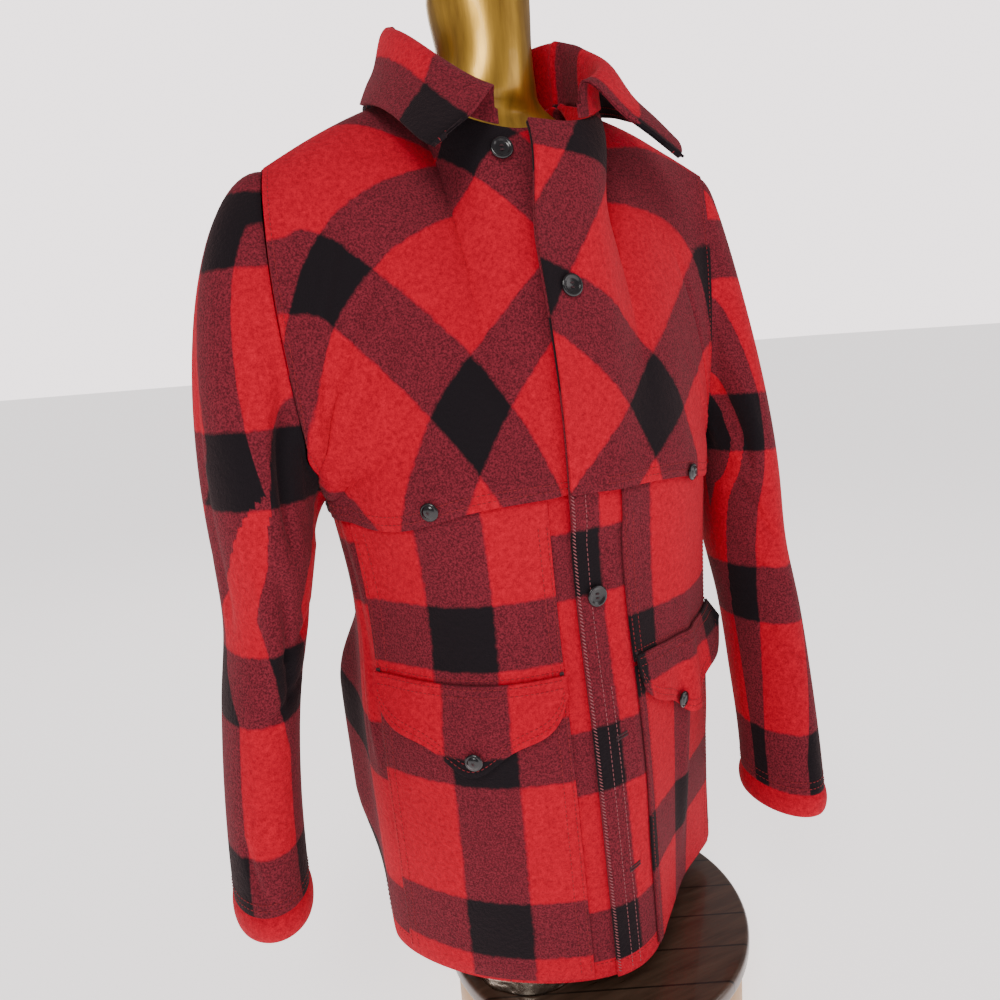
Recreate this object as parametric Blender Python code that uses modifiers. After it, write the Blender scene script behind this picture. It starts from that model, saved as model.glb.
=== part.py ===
"""A heavy wool coat with a double bias yoke and patch pockets, worn by a limbless dress form on a round stand.

Metres, Z up. The coat faces -Y, the wearer's left is +X, and the origin is on the stand's underside, below
the coat's centre line.
Every panel is a grid of points on one body surface, moved out by whole layers of cloth where pieces lie on
each other. Across runs from 0 at the centre line to 1 at the side or armhole. Up runs from 0 at the hem to 1
at the underarm and to 2 at the neck and shoulder seams.
"""
import functools
import math

import bmesh
import bpy
import numpy as np
from mathutils import Matrix, Vector

OBJECT_NAME = "wool_coat_on_dress_form"

# cloth
WALL = 0.0024
AIR = 0.0008
LAYER = WALL + AIR
SEAM = 0.0003
PANEL_REACH = 0.40
PANEL_RISE = 0.30

# stand
DRUM_RADIUS = 0.156
DRUM_HEIGHT = 0.0817
TOP_RADIUS = 0.164
TOP_THICKNESS = 0.018
STAND_X = 0.037
STAND_Y = -0.0215
STAND_TOP = 0.100

# heights of the coat
HEM = 0.132
UNDERARM = 0.600
YOKE_EDGE = 0.583
YOKE_FRONT_LIFT = 0.010
YOKE_DIP_RIGHT = 0.019
YOKE_DIP_LEFT = 0.014
BACK_HEM_RISE_RIGHT = 0.100
BACK_HEM_RISE = 0.045

# body sections: height, right side x, left side x, front x, front y, right chest y, left chest y, back y
BODY = (
    (0.132, -0.176, 0.206, 0.016, -0.138, -0.094, -0.060, 0.122),
    (0.240, -0.179, 0.203, 0.011, -0.137, -0.098, -0.070, 0.118),
    (0.370, -0.182, 0.200, 0.006, -0.133, -0.102, -0.082, 0.110),
    (0.500, -0.179, 0.198, 0.003, -0.119, -0.104, -0.090, 0.102),
    (0.600, -0.192, 0.200, 0.000, -0.120, -0.108, -0.096, 0.098),
)
CHEST_ACROSS = 0.60
BACK_ACROSS = 0.74
BACK_DEPTH = 0.80
SIDE_Y = 0.004

# neck and shoulders
NECK_FRONT = (0.0, -0.066, 0.893)
NECK_BACK = (0.0, 0.104, 0.940)
NECK_SIDE = (0.072, 0.040, 0.948)
SHOULDER_TIP = (0.2150, 0.0, 0.872)
SHOULDER_ARCH = 0.005
NECK_SHARE = 0.30
SPREAD_RIGHT = 0.020
SPREAD_LEFT = 0.020

# pull of the columns above the underarm: across, start y, start z, end x, end y, end z
FRONT_PULL = (
    (0.00, 0.000, 0.100, 0.000, -0.033, -0.085),
    (0.30, 0.000, 0.120, 0.000, -0.050, -0.030),
    (0.70, 0.000, 0.110, 0.000, -0.060, -0.015),
    (1.00, -0.085, 0.020, 0.000, -0.066, -0.050),
)
BACK_PULL = (
    (0.00, 0.012, 0.100, 0.000, 0.012, -0.070),
    (0.30, 0.014, 0.110, 0.000, 0.045, -0.030),
    (0.70, 0.010, 0.110, 0.000, 0.060, -0.015),
    (1.00, 0.080, 0.020, 0.000, 0.062, -0.050),
)
ARM_BOW_RIGHT = (-0.036, -0.024)
ARM_BOW_LEFT = (-0.006, -0.014)

# folds pressed out of the panels: side, face, across, width, low, high, depth, slant
FOLDS = (
    (-1, "front", 0.90, 0.070, 0.55, 1.45, 0.006, 0.10),
    (-1, "back", 0.74, 0.150, -0.05, 0.74, 0.026, 0.00),
    (-1, "back", 0.35, 0.090, 0.15, 1.10, 0.006, 0.04),
    (1, "back", 0.30, 0.090, 0.10, 1.15, 0.007, -0.05),
    (1, "back", 0.75, 0.080, 0.15, 1.25, 0.007, 0.05),
    (1, "front", 0.45, 0.080, 0.05, 0.80, 0.006, 0.05),
)

# grids
FRONT_COLUMNS = 12
BACK_COLUMNS = 18
LAP_COLUMNS = 1
LOW_ROWS = 12
HIGH_ROWS = 10

# sleeves: height, centre x, centre y, half width, half depth, for each side
SLEEVE_RIGHT = (
    (0.560, -0.256, 0.006, 0.044, 0.078),
    (0.500, -0.263, 0.000, 0.037, 0.068),
    (0.430, -0.277, -0.008, 0.034, 0.062),
    (0.350, -0.287, -0.018, 0.033, 0.057),
    (0.290, -0.291, -0.026, 0.033, 0.053),
    (0.262, -0.292, -0.030, 0.033, 0.051),
)
SLEEVE_LEFT = (
    (0.560, 0.247, -0.010, 0.037, 0.060),
    (0.500, 0.242, -0.028, 0.035, 0.056),
    (0.430, 0.243, -0.050, 0.034, 0.053),
    (0.350, 0.235, -0.078, 0.033, 0.052),
    (0.290, 0.228, -0.098, 0.033, 0.050),
    (0.257, 0.224, -0.107, 0.033, 0.050),
)
CAP_REACH_RIGHT = (0.045, 0.010)
CAP_REACH_LEFT = (0.018, -0.020)
SLEEVE_CAP_ROWS = 5
SLEEVE_ROWS = 9
ARMHOLE_GAP = 0.0009
CUFF_HEIGHT = 0.024
CUFF_GROWTH = 1.06

# collar: share of its width, share of the stand's height, share of the roll's width, share of the leaf
COLLAR = (
    (0.03, 0.00, 0.00),
    (0.45, -0.10, 0.00),
    (0.85, 0.00, 0.00),
    (1.00, 0.45, 0.00),
    (0.92, 1.00, 0.08),
    (0.70, 1.10, 0.36),
    (0.70, 1.10, 0.68),
    (0.70, 1.00, 1.00),
)
COLLAR_COLUMNS = 24
COLLAR_START = 0.04
STAND_BACK = 0.066
STAND_FRONT = 0.028
ROLL_WIDTH = 0.012
LEAF_OUT = 0.026
LEAF_FALL = 0.049
POINT_RIGHT = (-0.066, -0.024, -0.046)
POINT_LEFT = (0.066, -0.034, -0.060)

# pockets: front and side edge across each front, right then left, and the seam between the two patches
PATCH_EDGES = ((0.165, 0.865), (0.125, 0.800))
PATCH_SPLIT = 0.429
PATCH_TOP = 0.594
FLAP_TOP = 0.008
FLAP_MIDDLE = 0.082
FLAP_ENDS = 0.052
FLAP_LOBE = 0.0035
FLAP_REST = 0.0020
FLAP_STAND = (0.002, 0.012)
FLAP_COLUMNS = 16
FLAP_ROWS = 4

# buttons
FRONT_BUTTON_RADIUS = 0.0098
FRONT_BUTTON_THICKNESS = 0.0032
DOME_BUTTON_RADIUS = 0.0080
DOME_BUTTON_THICKNESS = 0.0050
BUTTON_SPACING = 0.131
SECOND_BUTTON = 0.762
NECK_BUTTON = 0.874
BUTTON_GAP = 0.0006
FLAP_BUTTON_DROP_RIGHT = 0.058
FLAP_BUTTON_DROP_LEFT = 0.054

# dress form
FORM_FLOOR = 0.255
FORM = (
    (0.255, 0.016, 0.012, 0.128, 0.082),
    (0.300, 0.016, 0.008, 0.150, 0.090),
    (0.380, 0.014, 0.004, 0.158, 0.090),
    (0.480, 0.012, 0.004, 0.150, 0.080),
    (0.600, 0.008, 0.002, 0.160, 0.082),
    (0.700, 0.004, 0.004, 0.172, 0.080),
    (0.780, 0.002, 0.010, 0.176, 0.070),
    (0.838, 0.000, 0.014, 0.174, 0.056),
    (0.873, 0.000, 0.018, 0.164, 0.040),
    (0.899, 0.000, 0.024, 0.138, 0.032),
    (0.918, 0.000, 0.034, 0.104, 0.034),
    (0.933, 0.000, 0.042, 0.074, 0.040),
    (0.945, 0.000, 0.046, 0.058, 0.049),
    (0.960, 0.004, 0.046, 0.0500, 0.0500),
    (1.040, 0.004, 0.046, 0.0490, 0.0490),
)
NECK_CAP_RISE = 0.008
NECK_CAP_SHARE = 0.8
FORM_SIDES = 28
THIGH_RADIUS = 0.0630
THIGH_SPACING = 0.0655
THIGH_X = 0.016
THIGH_Y_RIGHT = -0.035
THIGH_Y_LEFT = 0.003
FOIL_HEIGHT = 0.030
FOIL_WALL = 0.0015


def smooth(value):
    """A step from 0 to 1 with level ends."""
    value = np.clip(value, 0.0, 1.0)
    return value * value * (3.0 - 2.0 * value)


def bump(value):
    """A rounded hump, 1 in the middle and near 0 beyond one width."""
    return np.exp(-value * value * 2.5)


def through(stations, values, where):
    """A smooth curve through values at stations, read at the places in where."""
    stations = np.asarray(stations, float)
    values = np.asarray(values, float)
    slopes = np.gradient(values, stations)
    where = np.clip(where, stations[0], stations[-1])
    index = np.clip(np.searchsorted(stations, where) - 1, 0, len(stations) - 2)
    span = stations[index + 1] - stations[index]
    t = (where - stations[index]) / span
    first = values[index] * (1 + 2 * t) * (1 - t) ** 2 + slopes[index] * span * t * (1 - t) ** 2
    second = values[index + 1] * t * t * (3 - 2 * t) - slopes[index + 1] * span * t * t * (1 - t)
    return first + second


def columns(table, where):
    """Every column of a table, read smoothly at the places in where along its first column."""
    table = np.asarray(sorted(table), float)
    return [through(table[:, 0], table[:, k], where) for k in range(1, table.shape[1])]


def ring(height, turn):
    """A point of the body below the underarm. Turn is 0 at the front, 0.5 at the left side and 1 at the back."""
    right, left, front_x, front, right_chest, left_chest, back = columns(BODY, height)
    zero = np.zeros_like(right)
    knots_x = np.stack([front_x, CHEST_ACROSS * left, left, BACK_ACROSS * left,
                        zero, BACK_ACROSS * right, right, CHEST_ACROSS * right], -1)
    side = zero + SIDE_Y
    knots_y = np.stack([front, left_chest, side, BACK_DEPTH * back,
                        back, BACK_DEPTH * back, side, right_chest], -1)
    place = np.mod(turn, 2.0) * 4.0
    index = np.floor(place).astype(int)
    t = place - index
    result = []
    for knots in (knots_x, knots_y):
        before, here, after, beyond = (
            np.take_along_axis(knots, ((index + k) % 8)[..., None], -1)[..., 0] for k in (-1, 0, 1, 2))
        result.append(here + 0.5 * t * (after - before + t * (
            2 * before - 5 * here + 4 * after - beyond + t * (3 * (here - after) + beyond - before))))
    return np.stack([result[0], result[1], height + zero], -1)


def top_edge(side, face, across):
    """The neckline up to its share of the panel, then the shoulder seam out to its tip."""
    centre = np.array(NECK_FRONT if face == "front" else NECK_BACK)
    corner = np.array(NECK_SIDE)
    tip = np.array(SHOULDER_TIP)
    mirror = np.where(across < 0, -1.0, 1.0)
    span = np.abs(across) if side < 0 or face == "back" else np.maximum(across, 0.0)
    angle = np.clip(span / NECK_SHARE, 0, 1) * math.pi / 2
    neck_x = corner[0] * np.sin(np.clip(np.abs(across) / NECK_SHARE, 0, 1) * math.pi / 2)
    neck_y = corner[1] + (centre[1] - corner[1]) * np.cos(angle)
    neck_z = corner[2] + (centre[2] - corner[2]) * np.cos(angle) ** 1.5
    share = np.clip((span - NECK_SHARE) / (1 - NECK_SHARE), 0, 1)
    line = corner + (tip - corner) * share[..., None]
    line[..., 2] += SHOULDER_ARCH * np.sin(share * math.pi)
    neck = np.stack([neck_x, neck_y, neck_z], -1)
    point = np.where((span < NECK_SHARE)[..., None], neck, line)
    point[..., 0] *= mirror * side
    return point


def hem_rise(side, across):
    """How far the back's hem rides up, most beside the wearer's right side seam."""
    rise = BACK_HEM_RISE * smooth((1 - across) / 0.6)
    if side < 0:
        rise = rise + (BACK_HEM_RISE_RIGHT - BACK_HEM_RISE) * smooth((1 - across) / 0.3) * smooth(across / 0.5)
    return rise


def plain_body(side, face, across, up):
    """The body surface before its folds."""
    turn = across * 0.5 if face == "front" else 1.0 - across * 0.5
    low = ring(HEM + (UNDERARM - HEM) * np.clip(up, 0, 1), side * turn)
    if face == "back":
        low[..., 2] += hem_rise(side, across) * (1 - np.clip(up, 0, 1))
    start = ring(UNDERARM + 0 * across, side * turn)
    end = top_edge(side, face, across)
    start_y, start_z, end_x, end_y, end_z = columns(
        FRONT_PULL if face == "front" else BACK_PULL, np.clip(np.abs(across), 0, 1))
    bow = ARM_BOW_RIGHT if side < 0 else ARM_BOW_LEFT
    reach = smooth((across - 0.6) / 0.4)
    short = 1.0 if side < 0 or face == "back" else 0.62
    depth = 1.0 - (1.0 - short) * reach
    first = start + np.stack([bow[0] * reach, start_y * depth, start_z], -1)
    last = end + np.stack([end_x + bow[1] * reach, end_y * depth, end_z], -1)
    t = np.clip(up - 1, 0, 1)[..., None]
    high = start * (1 - t) ** 3 + 3 * first * t * (1 - t) ** 2 + 3 * last * t * t * (1 - t) + end * t ** 3
    point = np.where((up <= 1)[..., None], low, high)
    if face == "front":
        spread = SPREAD_RIGHT if side < 0 else SPREAD_LEFT
        open_neck = smooth((up - 1.60) / 0.40) * smooth(1 - np.abs(across) / 0.45)
        point[..., 0] += side * spread * open_neck
    return point


def normal_of(surface, across, up, sign):
    """The outward unit normal of a surface function."""
    step = 0.004
    low_a, high_a = across - step, np.minimum(across + step, 1.0)
    low_u, high_u = np.maximum(up - step, 0.0), np.minimum(up + step, 2.0)
    along = surface(high_a, up) - surface(low_a, up)
    rise = surface(across, high_u) - surface(across, low_u)
    normal = np.cross(along, rise) * sign
    return normal / np.linalg.norm(normal, axis=-1, keepdims=True)


def facing(side, face):
    """The sign that turns across x up into an outward normal."""
    return side * (1.0 if face == "front" else -1.0)


def fold_height(side, face, across, up):
    """How far the folds stand out of the panel."""
    height = np.zeros_like(across)
    for fold_side, fold_face, centre, width, low, high, depth, slant in FOLDS:
        if (fold_side, fold_face) == (side, face):
            middle = centre + slant * (up - (low + high) / 2)
            length = smooth((up - low) / 0.25) * smooth((high - up) / 0.25)
            height = height + depth * bump((across - middle) / width) * length
    return height


def body(side, face, across, up):
    """The body surface with its folds."""
    across, up = np.broadcast_arrays(np.asarray(across, float), np.asarray(up, float))
    normal = normal_of(lambda a, u: plain_body(side, face, a, u), across, up, facing(side, face))
    return plain_body(side, face, across, up) + normal * fold_height(side, face, across, up)[..., None]


def level(height):
    """The value of up at a height below the underarm."""
    return (height - HEM) / (UNDERARM - HEM)


def lap_lift(side, face, across, up):
    """How far the wearer's left front rides over the right one: at the yoke it crosses one layer more."""
    if side < 0 or face == "back":
        return np.zeros_like(across)
    layers = 1.0 + smooth((up - level(YOKE_EDGE - 0.035)) / 0.05) + 1.5 * smooth((up - 1.5) / 0.4)
    return layers * LAYER * smooth(1 - (across - 0.10) / 0.16)


def new_material(name, colour, roughness, metallic=0.0):
    """One Principled material."""
    material = bpy.data.materials.new(name)
    material.use_nodes = True
    shader = material.node_tree.nodes["Principled BSDF"]
    shader.inputs["Base Color"].default_value = (*colour, 1.0)
    shader.inputs["Roughness"].default_value = roughness
    shader.inputs["Metallic"].default_value = metallic
    material.diffuse_color = (*colour, 1.0)
    return material


def new_object(name, mesh, collection, finish):
    """An object in the collection with its own material."""
    thing = bpy.data.objects.new(name, mesh)
    collection.objects.link(thing)
    thing.data.materials.append(new_material(name, *finish))
    return thing


def grid_mesh(name, points, wrap=False, outward=1):
    """A mesh from rows of points, faces turned so that outward is 1 or -1 times across x up."""
    rows, across = points.shape[:2]
    mesh_data = bmesh.new()
    made = [[mesh_data.verts.new(point) for point in row] for row in points]
    for r in range(rows - 1):
        for c in range(across if wrap else across - 1):
            d = (c + 1) % across
            face = [made[r][c], made[r][d], made[r + 1][d], made[r + 1][c]]
            mesh_data.faces.new(face if outward > 0 else face[::-1])
    mesh = bpy.data.meshes.new(name)
    mesh_data.to_mesh(mesh)
    mesh_data.free()
    mesh.shade_smooth()
    return mesh


def cloth(name, points, collection, finish, wrap=False, outward=1, wall=WALL):
    """A cloth piece: an open surface thickened outwards."""
    thing = new_object(name, grid_mesh(name, points, wrap, outward), collection, finish)
    solidify = thing.modifiers.new("wall", "SOLIDIFY")
    solidify.thickness = wall
    solidify.offset = 1.0
    solidify.use_rim = True
    return thing


def turned(name, profile, steps, collection, finish):
    """A turned piece: a profile of radius and height, run down its outer side, spun about Z."""
    mesh_data = bmesh.new()
    made = [mesh_data.verts.new((radius, 0.0, height)) for radius, height in profile]
    for first, second in zip(made, made[1:]):
        mesh_data.edges.new((first, second))
    mesh = bpy.data.meshes.new(name)
    mesh_data.to_mesh(mesh)
    mesh_data.free()
    thing = new_object(name, mesh, collection, finish)
    screw = thing.modifiers.new("turn", "SCREW")
    screw.steps = steps
    screw.render_steps = steps
    screw.use_merge_vertices = True
    screw.merge_threshold = 0.00001
    return thing


RED = (0.62, 0.02, 0.04)
MAROON = (0.16, 0.02, 0.03)
BLACK = (0.01, 0.01, 0.012)
WOOL = 0.95
RED_WOOL = (RED, WOOL)
DARK_WOOL = (MAROON, WOOL)


def panel_columns(face):
    """Where the columns of a panel lie. Every layer over the panel shares them."""
    count = FRONT_COLUMNS if face == "front" else BACK_COLUMNS // 2
    lap = LAP_COLUMNS if face == "front" else 0
    across = np.linspace(-lap / count, 1.0, count + lap + 1)
    across[-1] -= SEAM / PANEL_REACH
    return across


def panel_rows():
    """The rows of a panel, from the hem over the underarm line to the neck and shoulder."""
    lower = np.linspace(0.0, 1.0, LOW_ROWS + 1)
    upper = np.linspace(1.0, 2.0 - SEAM / PANEL_RISE, HIGH_ROWS + 1)[1:]
    return np.concatenate([lower, upper])


def grid_normals(points, sign):
    """Outward normals at the points of a grid, from the faces round each."""
    along = points[:-1, 1:] - points[:-1, :-1]
    rise = points[1:, :-1] - points[:-1, :-1]
    far_along = points[1:, 1:] - points[1:, :-1]
    far_rise = points[1:, 1:] - points[:-1, 1:]
    face = np.cross(along + far_along, rise + far_rise) * sign
    face /= np.linalg.norm(face, axis=-1, keepdims=True)
    total = np.zeros_like(points)
    for down in (0, 1):
        for over in (0, 1):
            total[down:len(points) - 1 + down, over:points.shape[1] - 1 + over] += face
    return total / np.linalg.norm(total, axis=-1, keepdims=True)


@functools.lru_cache(maxsize=None)
def panel(side, face):
    """The grid of a panel: its columns, rows, points and outward normals."""
    across, up = panel_columns(face), panel_rows()
    a, u = np.meshgrid(across, up)
    points = body(side, face, a, u)
    points = points + grid_normals(points, facing(side, face)) * lap_lift(side, face, a, u)[..., None]
    return across, up, points, grid_normals(points, facing(side, face))


def on_panel(side, face, across, up, lift):
    """Points of a panel's faces moved out by lift."""
    columns_at, rows_at, points, normals = panel(side, face)
    across, up, lift = np.broadcast_arrays(*(np.asarray(value, float) for value in (across, up, lift)))
    c = np.clip(np.searchsorted(columns_at, across, "right") - 1, 0, len(columns_at) - 2)
    r = np.clip(np.searchsorted(rows_at, up, "right") - 1, 0, len(rows_at) - 2)
    s = ((across - columns_at[c]) / (columns_at[c + 1] - columns_at[c]))[..., None]
    t = ((up - rows_at[r]) / (rows_at[r + 1] - rows_at[r]))[..., None]
    place, out = (
        (grid[r, c] * (1 - s) + grid[r, c + 1] * s) * (1 - t)
        + (grid[r + 1, c] * (1 - s) + grid[r + 1, c + 1] * s) * t for grid in (points, normals))
    return place + out * lift[..., None]


def add_fronts(collection):
    """The two fronts. The wearer's left one laps over the right one."""
    for side, name in ((-1, "front_right"), (1, "front_left")):
        cloth(name, panel(side, "front")[2], collection, RED_WOOL, outward=side)


def whole_back(left, right):
    """One grid from the two halves of the back, given from the middle out."""
    middle = (left[:, :1] + right[:, :1]) / 2
    return np.concatenate([left[:, :0:-1], middle, right[:, 1:]], 1)


def add_back(collection):
    """The back in one piece from side seam to side seam."""
    points = whole_back(panel(1, "back")[2], panel(-1, "back")[2])
    cloth("back", points, collection, DARK_WOOL)


def yoke_low(side, face, across):
    """Where the yoke's free edge lies."""
    if face == "back":
        return level(YOKE_EDGE) + 0 * across
    dip = YOKE_DIP_RIGHT if side < 0 else YOKE_DIP_LEFT
    return level(YOKE_EDGE + YOKE_FRONT_LIFT - dip * bump((across - 0.72) / 0.34))


def yoke_points(side, face):
    """The yoke over one panel, from its free edge to the shoulder. It clears the patch tops under its edge."""
    across, rows = panel(side, face)[:2]
    upper = rows[rows > 0.9999]
    a, u = np.meshgrid(across, np.concatenate([[0.0], upper]))
    u[0] = yoke_low(side, face, across)
    over_patch = 0 * u
    if face == "front":
        over_patch = LAYER * smooth((1.0 + 1.0 / HIGH_ROWS - u) * HIGH_ROWS)
        clear_of_lap = (a - (0.09 if side < 0 else 0.02)) / 0.07
        over_patch = over_patch * smooth(clear_of_lap) * smooth((0.995 - a) / 0.10)
    return on_panel(side, face, a, u, LAYER + over_patch)


def add_yoke(collection):
    """The second layer over chest, shoulders and back, free along its lower edge."""
    for side, name in ((-1, "yoke_front_right"), (1, "yoke_front_left")):
        cloth(name, yoke_points(side, "front"), collection, RED_WOOL, outward=side)
    points = whole_back(yoke_points(1, "back"), yoke_points(-1, "back"))
    cloth("yoke_back", points, collection, RED_WOOL)


def armhole(side):
    """The armhole just outside the yoke's edge, from the underarm up the front and down the back."""
    rows = panel_rows()
    up = rows[rows > 0.9999]
    edges = []
    for face in ("front", "back"):
        edge = on_panel(side, face, 1.0, up, LAYER)
        lean = (on_panel(side, face, 1.0, up, LAYER + WALL) - edge)[:, 0] * side
        edge[:, 0] += side * (ARMHOLE_GAP + np.maximum(lean, 0.0))
        edges.append(edge)
    front, back = edges
    top = (front[-1:] + back[-1:]) / 2
    bottom = (front[:1] + back[:1]) / 2
    return np.concatenate([bottom, front[1:-1], top, back[-2:0:-1]])


def sleeve_ring(table, height, count):
    """A level ring of the sleeve, from the inner side over the front, outer side and back."""
    x, y, width, depth = (float(value) for value in columns(table, np.array(height)))
    angle = np.linspace(0, 2 * math.pi, count, endpoint=False)
    side = math.copysign(1.0, x)
    return np.stack([x - side * width * np.cos(angle), y - depth * np.sin(angle),
                     height + 0 * angle], -1)


def sleeve_points(side):
    """The sleeve from its armhole down to the cuff."""
    table = SLEEVE_RIGHT if side < 0 else SLEEVE_LEFT
    loop = armhole(side)
    count = len(loop)
    reach, tuck = CAP_REACH_RIGHT if side < 0 else CAP_REACH_LEFT
    first = sleeve_ring(table, table[0][0], count)
    angle = np.linspace(0, 2 * math.pi, count, endpoint=False)
    outer = (1 - np.cos(angle)) / 2
    out = np.stack([side * (0.006 + reach * outer), 0 * outer, 0 * outer], -1)
    rise = np.stack([side * tuck * outer, 0 * outer, 0.012 + 0.150 * outer], -1)
    rows = []
    for t in np.linspace(0, 1, SLEEVE_CAP_ROWS + 1):
        rows.append(loop * (1 - t) ** 3 + 3 * (loop + out) * t * (1 - t) ** 2
                    + 3 * (first + rise) * t * t * (1 - t) + first * t ** 3)
    for height in np.linspace(table[0][0], table[-1][0], SLEEVE_ROWS + 1)[1:]:
        rows.append(sleeve_ring(table, height, count))
    return np.array(rows)


def add_sleeves(collection):
    """Both sleeves and the turned bands at their ends."""
    for side, word in ((-1, "right"), (1, "left")):
        points = sleeve_points(side)
        cloth("sleeve_" + word, points, collection, RED_WOOL, wrap=True, outward=side)
        table = SLEEVE_RIGHT if side < 0 else SLEEVE_LEFT
        end = table[-1][0]
        rows = []
        for drop, growth in ((SEAM, 1.0), (CUFF_HEIGHT / 2, CUFF_GROWTH), (CUFF_HEIGHT, 1.0)):
            band = sleeve_ring(table, end, points.shape[1])
            band = band.mean(0) + (band - band.mean(0)) * growth
            band[:, 2] = end - drop
            rows.append(band)
        cloth("cuff_" + word, np.array(rows), collection, RED_WOOL, wrap=True, outward=side)


def neckline(share):
    """The neck seam from the wearer's right front, round the back, to the left front, between the layers."""
    points = []
    for value in share:
        side = -1 if value < 0.5 else 1
        reach = abs(value - 0.5) * 2
        face = "front" if reach > 0.5 else "back"
        across = NECK_SHARE * (1 - abs(2 * reach - 1)) if face == "front" else NECK_SHARE * 2 * reach
        across = max(across, COLLAR_START) if face == "front" else across
        points.append(on_panel(side, face, across, 2.0, LAYER + WALL))
    return np.array(points)


def add_collar(collection):
    """The collar stands up from the neck seam, rolls over and lies out to its points."""
    share = np.linspace(0.0, 1.0, COLLAR_COLUMNS + 1)
    seam = neckline(share)
    out = (seam - np.array([0.0, NECK_SIDE[1], 0.0])) * (1, 1, 0)
    out /= np.linalg.norm(out, axis=1, keepdims=True)
    front = smooth((np.abs(share - 0.5) - 0.16) / 0.34)[:, None]
    stand = STAND_BACK + (STAND_FRONT - STAND_BACK) * front
    rise = np.array([0.0, 0.0, 1.0]) * stand
    point = np.where((share < 0.5)[:, None], POINT_RIGHT, POINT_LEFT)
    leaf = (out * LEAF_OUT - np.array([0.0, 0.0, LEAF_FALL])) * (1 - front ** 2) + point * front ** 2
    rows = [seam + rise * up + out * ROLL_WIDTH * roll + leaf * fall for up, roll, fall in COLLAR]
    cloth("collar", np.array(rows), collection, DARK_WOOL, outward=-1)


def flap_drop(share):
    """A flap's depth across its width: round corners, shallow side lobes and a deeper middle."""
    corner = np.sqrt(np.clip(1 - (np.abs(share - 0.5) * 2) ** 6, 0.12, 1))
    return (FLAP_ENDS + (FLAP_MIDDLE - FLAP_ENDS) * bump((share - 0.5) / 0.30)) * corner


def between(values, low, high):
    """The grid lines between two edges, with the edges themselves."""
    inside = values[(values > low + 0.02) & (values < high - 0.02)]
    return np.concatenate([[low], inside, [high]])


def add_pockets(collection):
    """On each front a chest patch, a lower patch and a flap over the seam between them."""
    for side, word, (inner, outer) in zip((-1, 1), ("right", "left"), PATCH_EDGES):
        columns_at, rows_at = panel(side, "front")[:2]
        across = between(columns_at, inner, outer)
        for name, low, high in (("chest_patch_", level(PATCH_SPLIT + 0.002), level(PATCH_TOP)),
                                ("lower_patch_", 0.012, level(PATCH_SPLIT - 0.002))):
            a, u = np.meshgrid(across, between(rows_at, low, high))
            cloth(name + word, on_panel(side, "front", a, u, LAYER), collection, DARK_WOOL, outward=side)
        share = np.linspace(0, 1, FLAP_COLUMNS + 1)
        a, v = np.meshgrid(inner + (outer - inner) * share, np.linspace(1, 0, FLAP_ROWS + 1))
        u = level(PATCH_SPLIT + FLAP_TOP) - v * flap_drop(share) / (UNDERARM - HEM)
        stand_off = FLAP_REST + FLAP_LOBE * np.sin(share * math.pi * 3) ** 2 + FLAP_STAND[side > 0] * share ** 2
        points = on_panel(side, "front", a, u, 2 * LAYER + stand_off * v)
        cloth("flap_" + word, points, collection, RED_WOOL, outward=side)


def button_place(side, across, up, lift):
    """The placement of a button on the body, its face turned out of the cloth."""
    point = on_panel(side, "front", across, up, lift)
    further = on_panel(side, "front", across, up, lift + 0.01)
    turn = Vector(further - point).to_track_quat("Z", "Y").to_matrix().to_4x4()
    return Matrix.Translation(Vector(point)) @ turn


def up_at(side, across, height):
    """The value of up at which a front reaches a height."""
    rows = panel(side, "front")[1]
    return float(np.interp(height, on_panel(side, "front", across, rows, 0.0)[:, 2], rows))


def add_buttons(collection):
    """Flat buttons down the front, domed ones on the yoke's corners and the flaps."""
    half = FRONT_BUTTON_THICKNESS / 2
    flat = ((0.0, half * 1.2), (0.0060, half * 1.2), (0.0078, half * 2.0), (0.0092, half * 2.0),
            (FRONT_BUTTON_RADIUS, half * 1.2), (0.0086, 0.0), (0.0, 0.0))
    dome = ((0.0, DOME_BUTTON_THICKNESS), (0.0040, 0.0043), (0.0066, 0.0028),
            (DOME_BUTTON_RADIUS, 0.0012), (0.0074, 0.0), (0.0, 0.0))
    on_yoke = LAYER + WALL + BUTTON_GAP
    places = [
        ("button_neck", flat, -1, 0.050, up_at(-1, 0.050, NECK_BUTTON), on_yoke + BUTTON_GAP),
        ("button_front_2", flat, 1, 0.0, up_at(1, 0.0, SECOND_BUTTON), on_yoke),
        ("button_front_4", flat, 1, 0.0, level(SECOND_BUTTON - 2 * BUTTON_SPACING), WALL + BUTTON_GAP),
        ("button_yoke_right", dome, -1, 0.565, level(YOKE_EDGE + YOKE_FRONT_LIFT), on_yoke + LAYER),
        ("button_yoke_left", dome, 1, 0.480, level(YOKE_EDGE + YOKE_FRONT_LIFT), on_yoke + LAYER),
        ("button_flap_right", dome, -1, 0.500, level(PATCH_SPLIT - FLAP_BUTTON_DROP_RIGHT), on_yoke + LAYER + 0.0052),
        ("button_flap_left", dome, 1, 0.365, level(PATCH_SPLIT - FLAP_BUTTON_DROP_LEFT), on_yoke + LAYER + 0.0048),
    ]
    for name, profile, side, across, up, lift in places:
        thing = turned(name, profile, 14, collection, (BLACK, 0.15))
        thing.matrix_world = button_place(side, across, up, lift)


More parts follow.
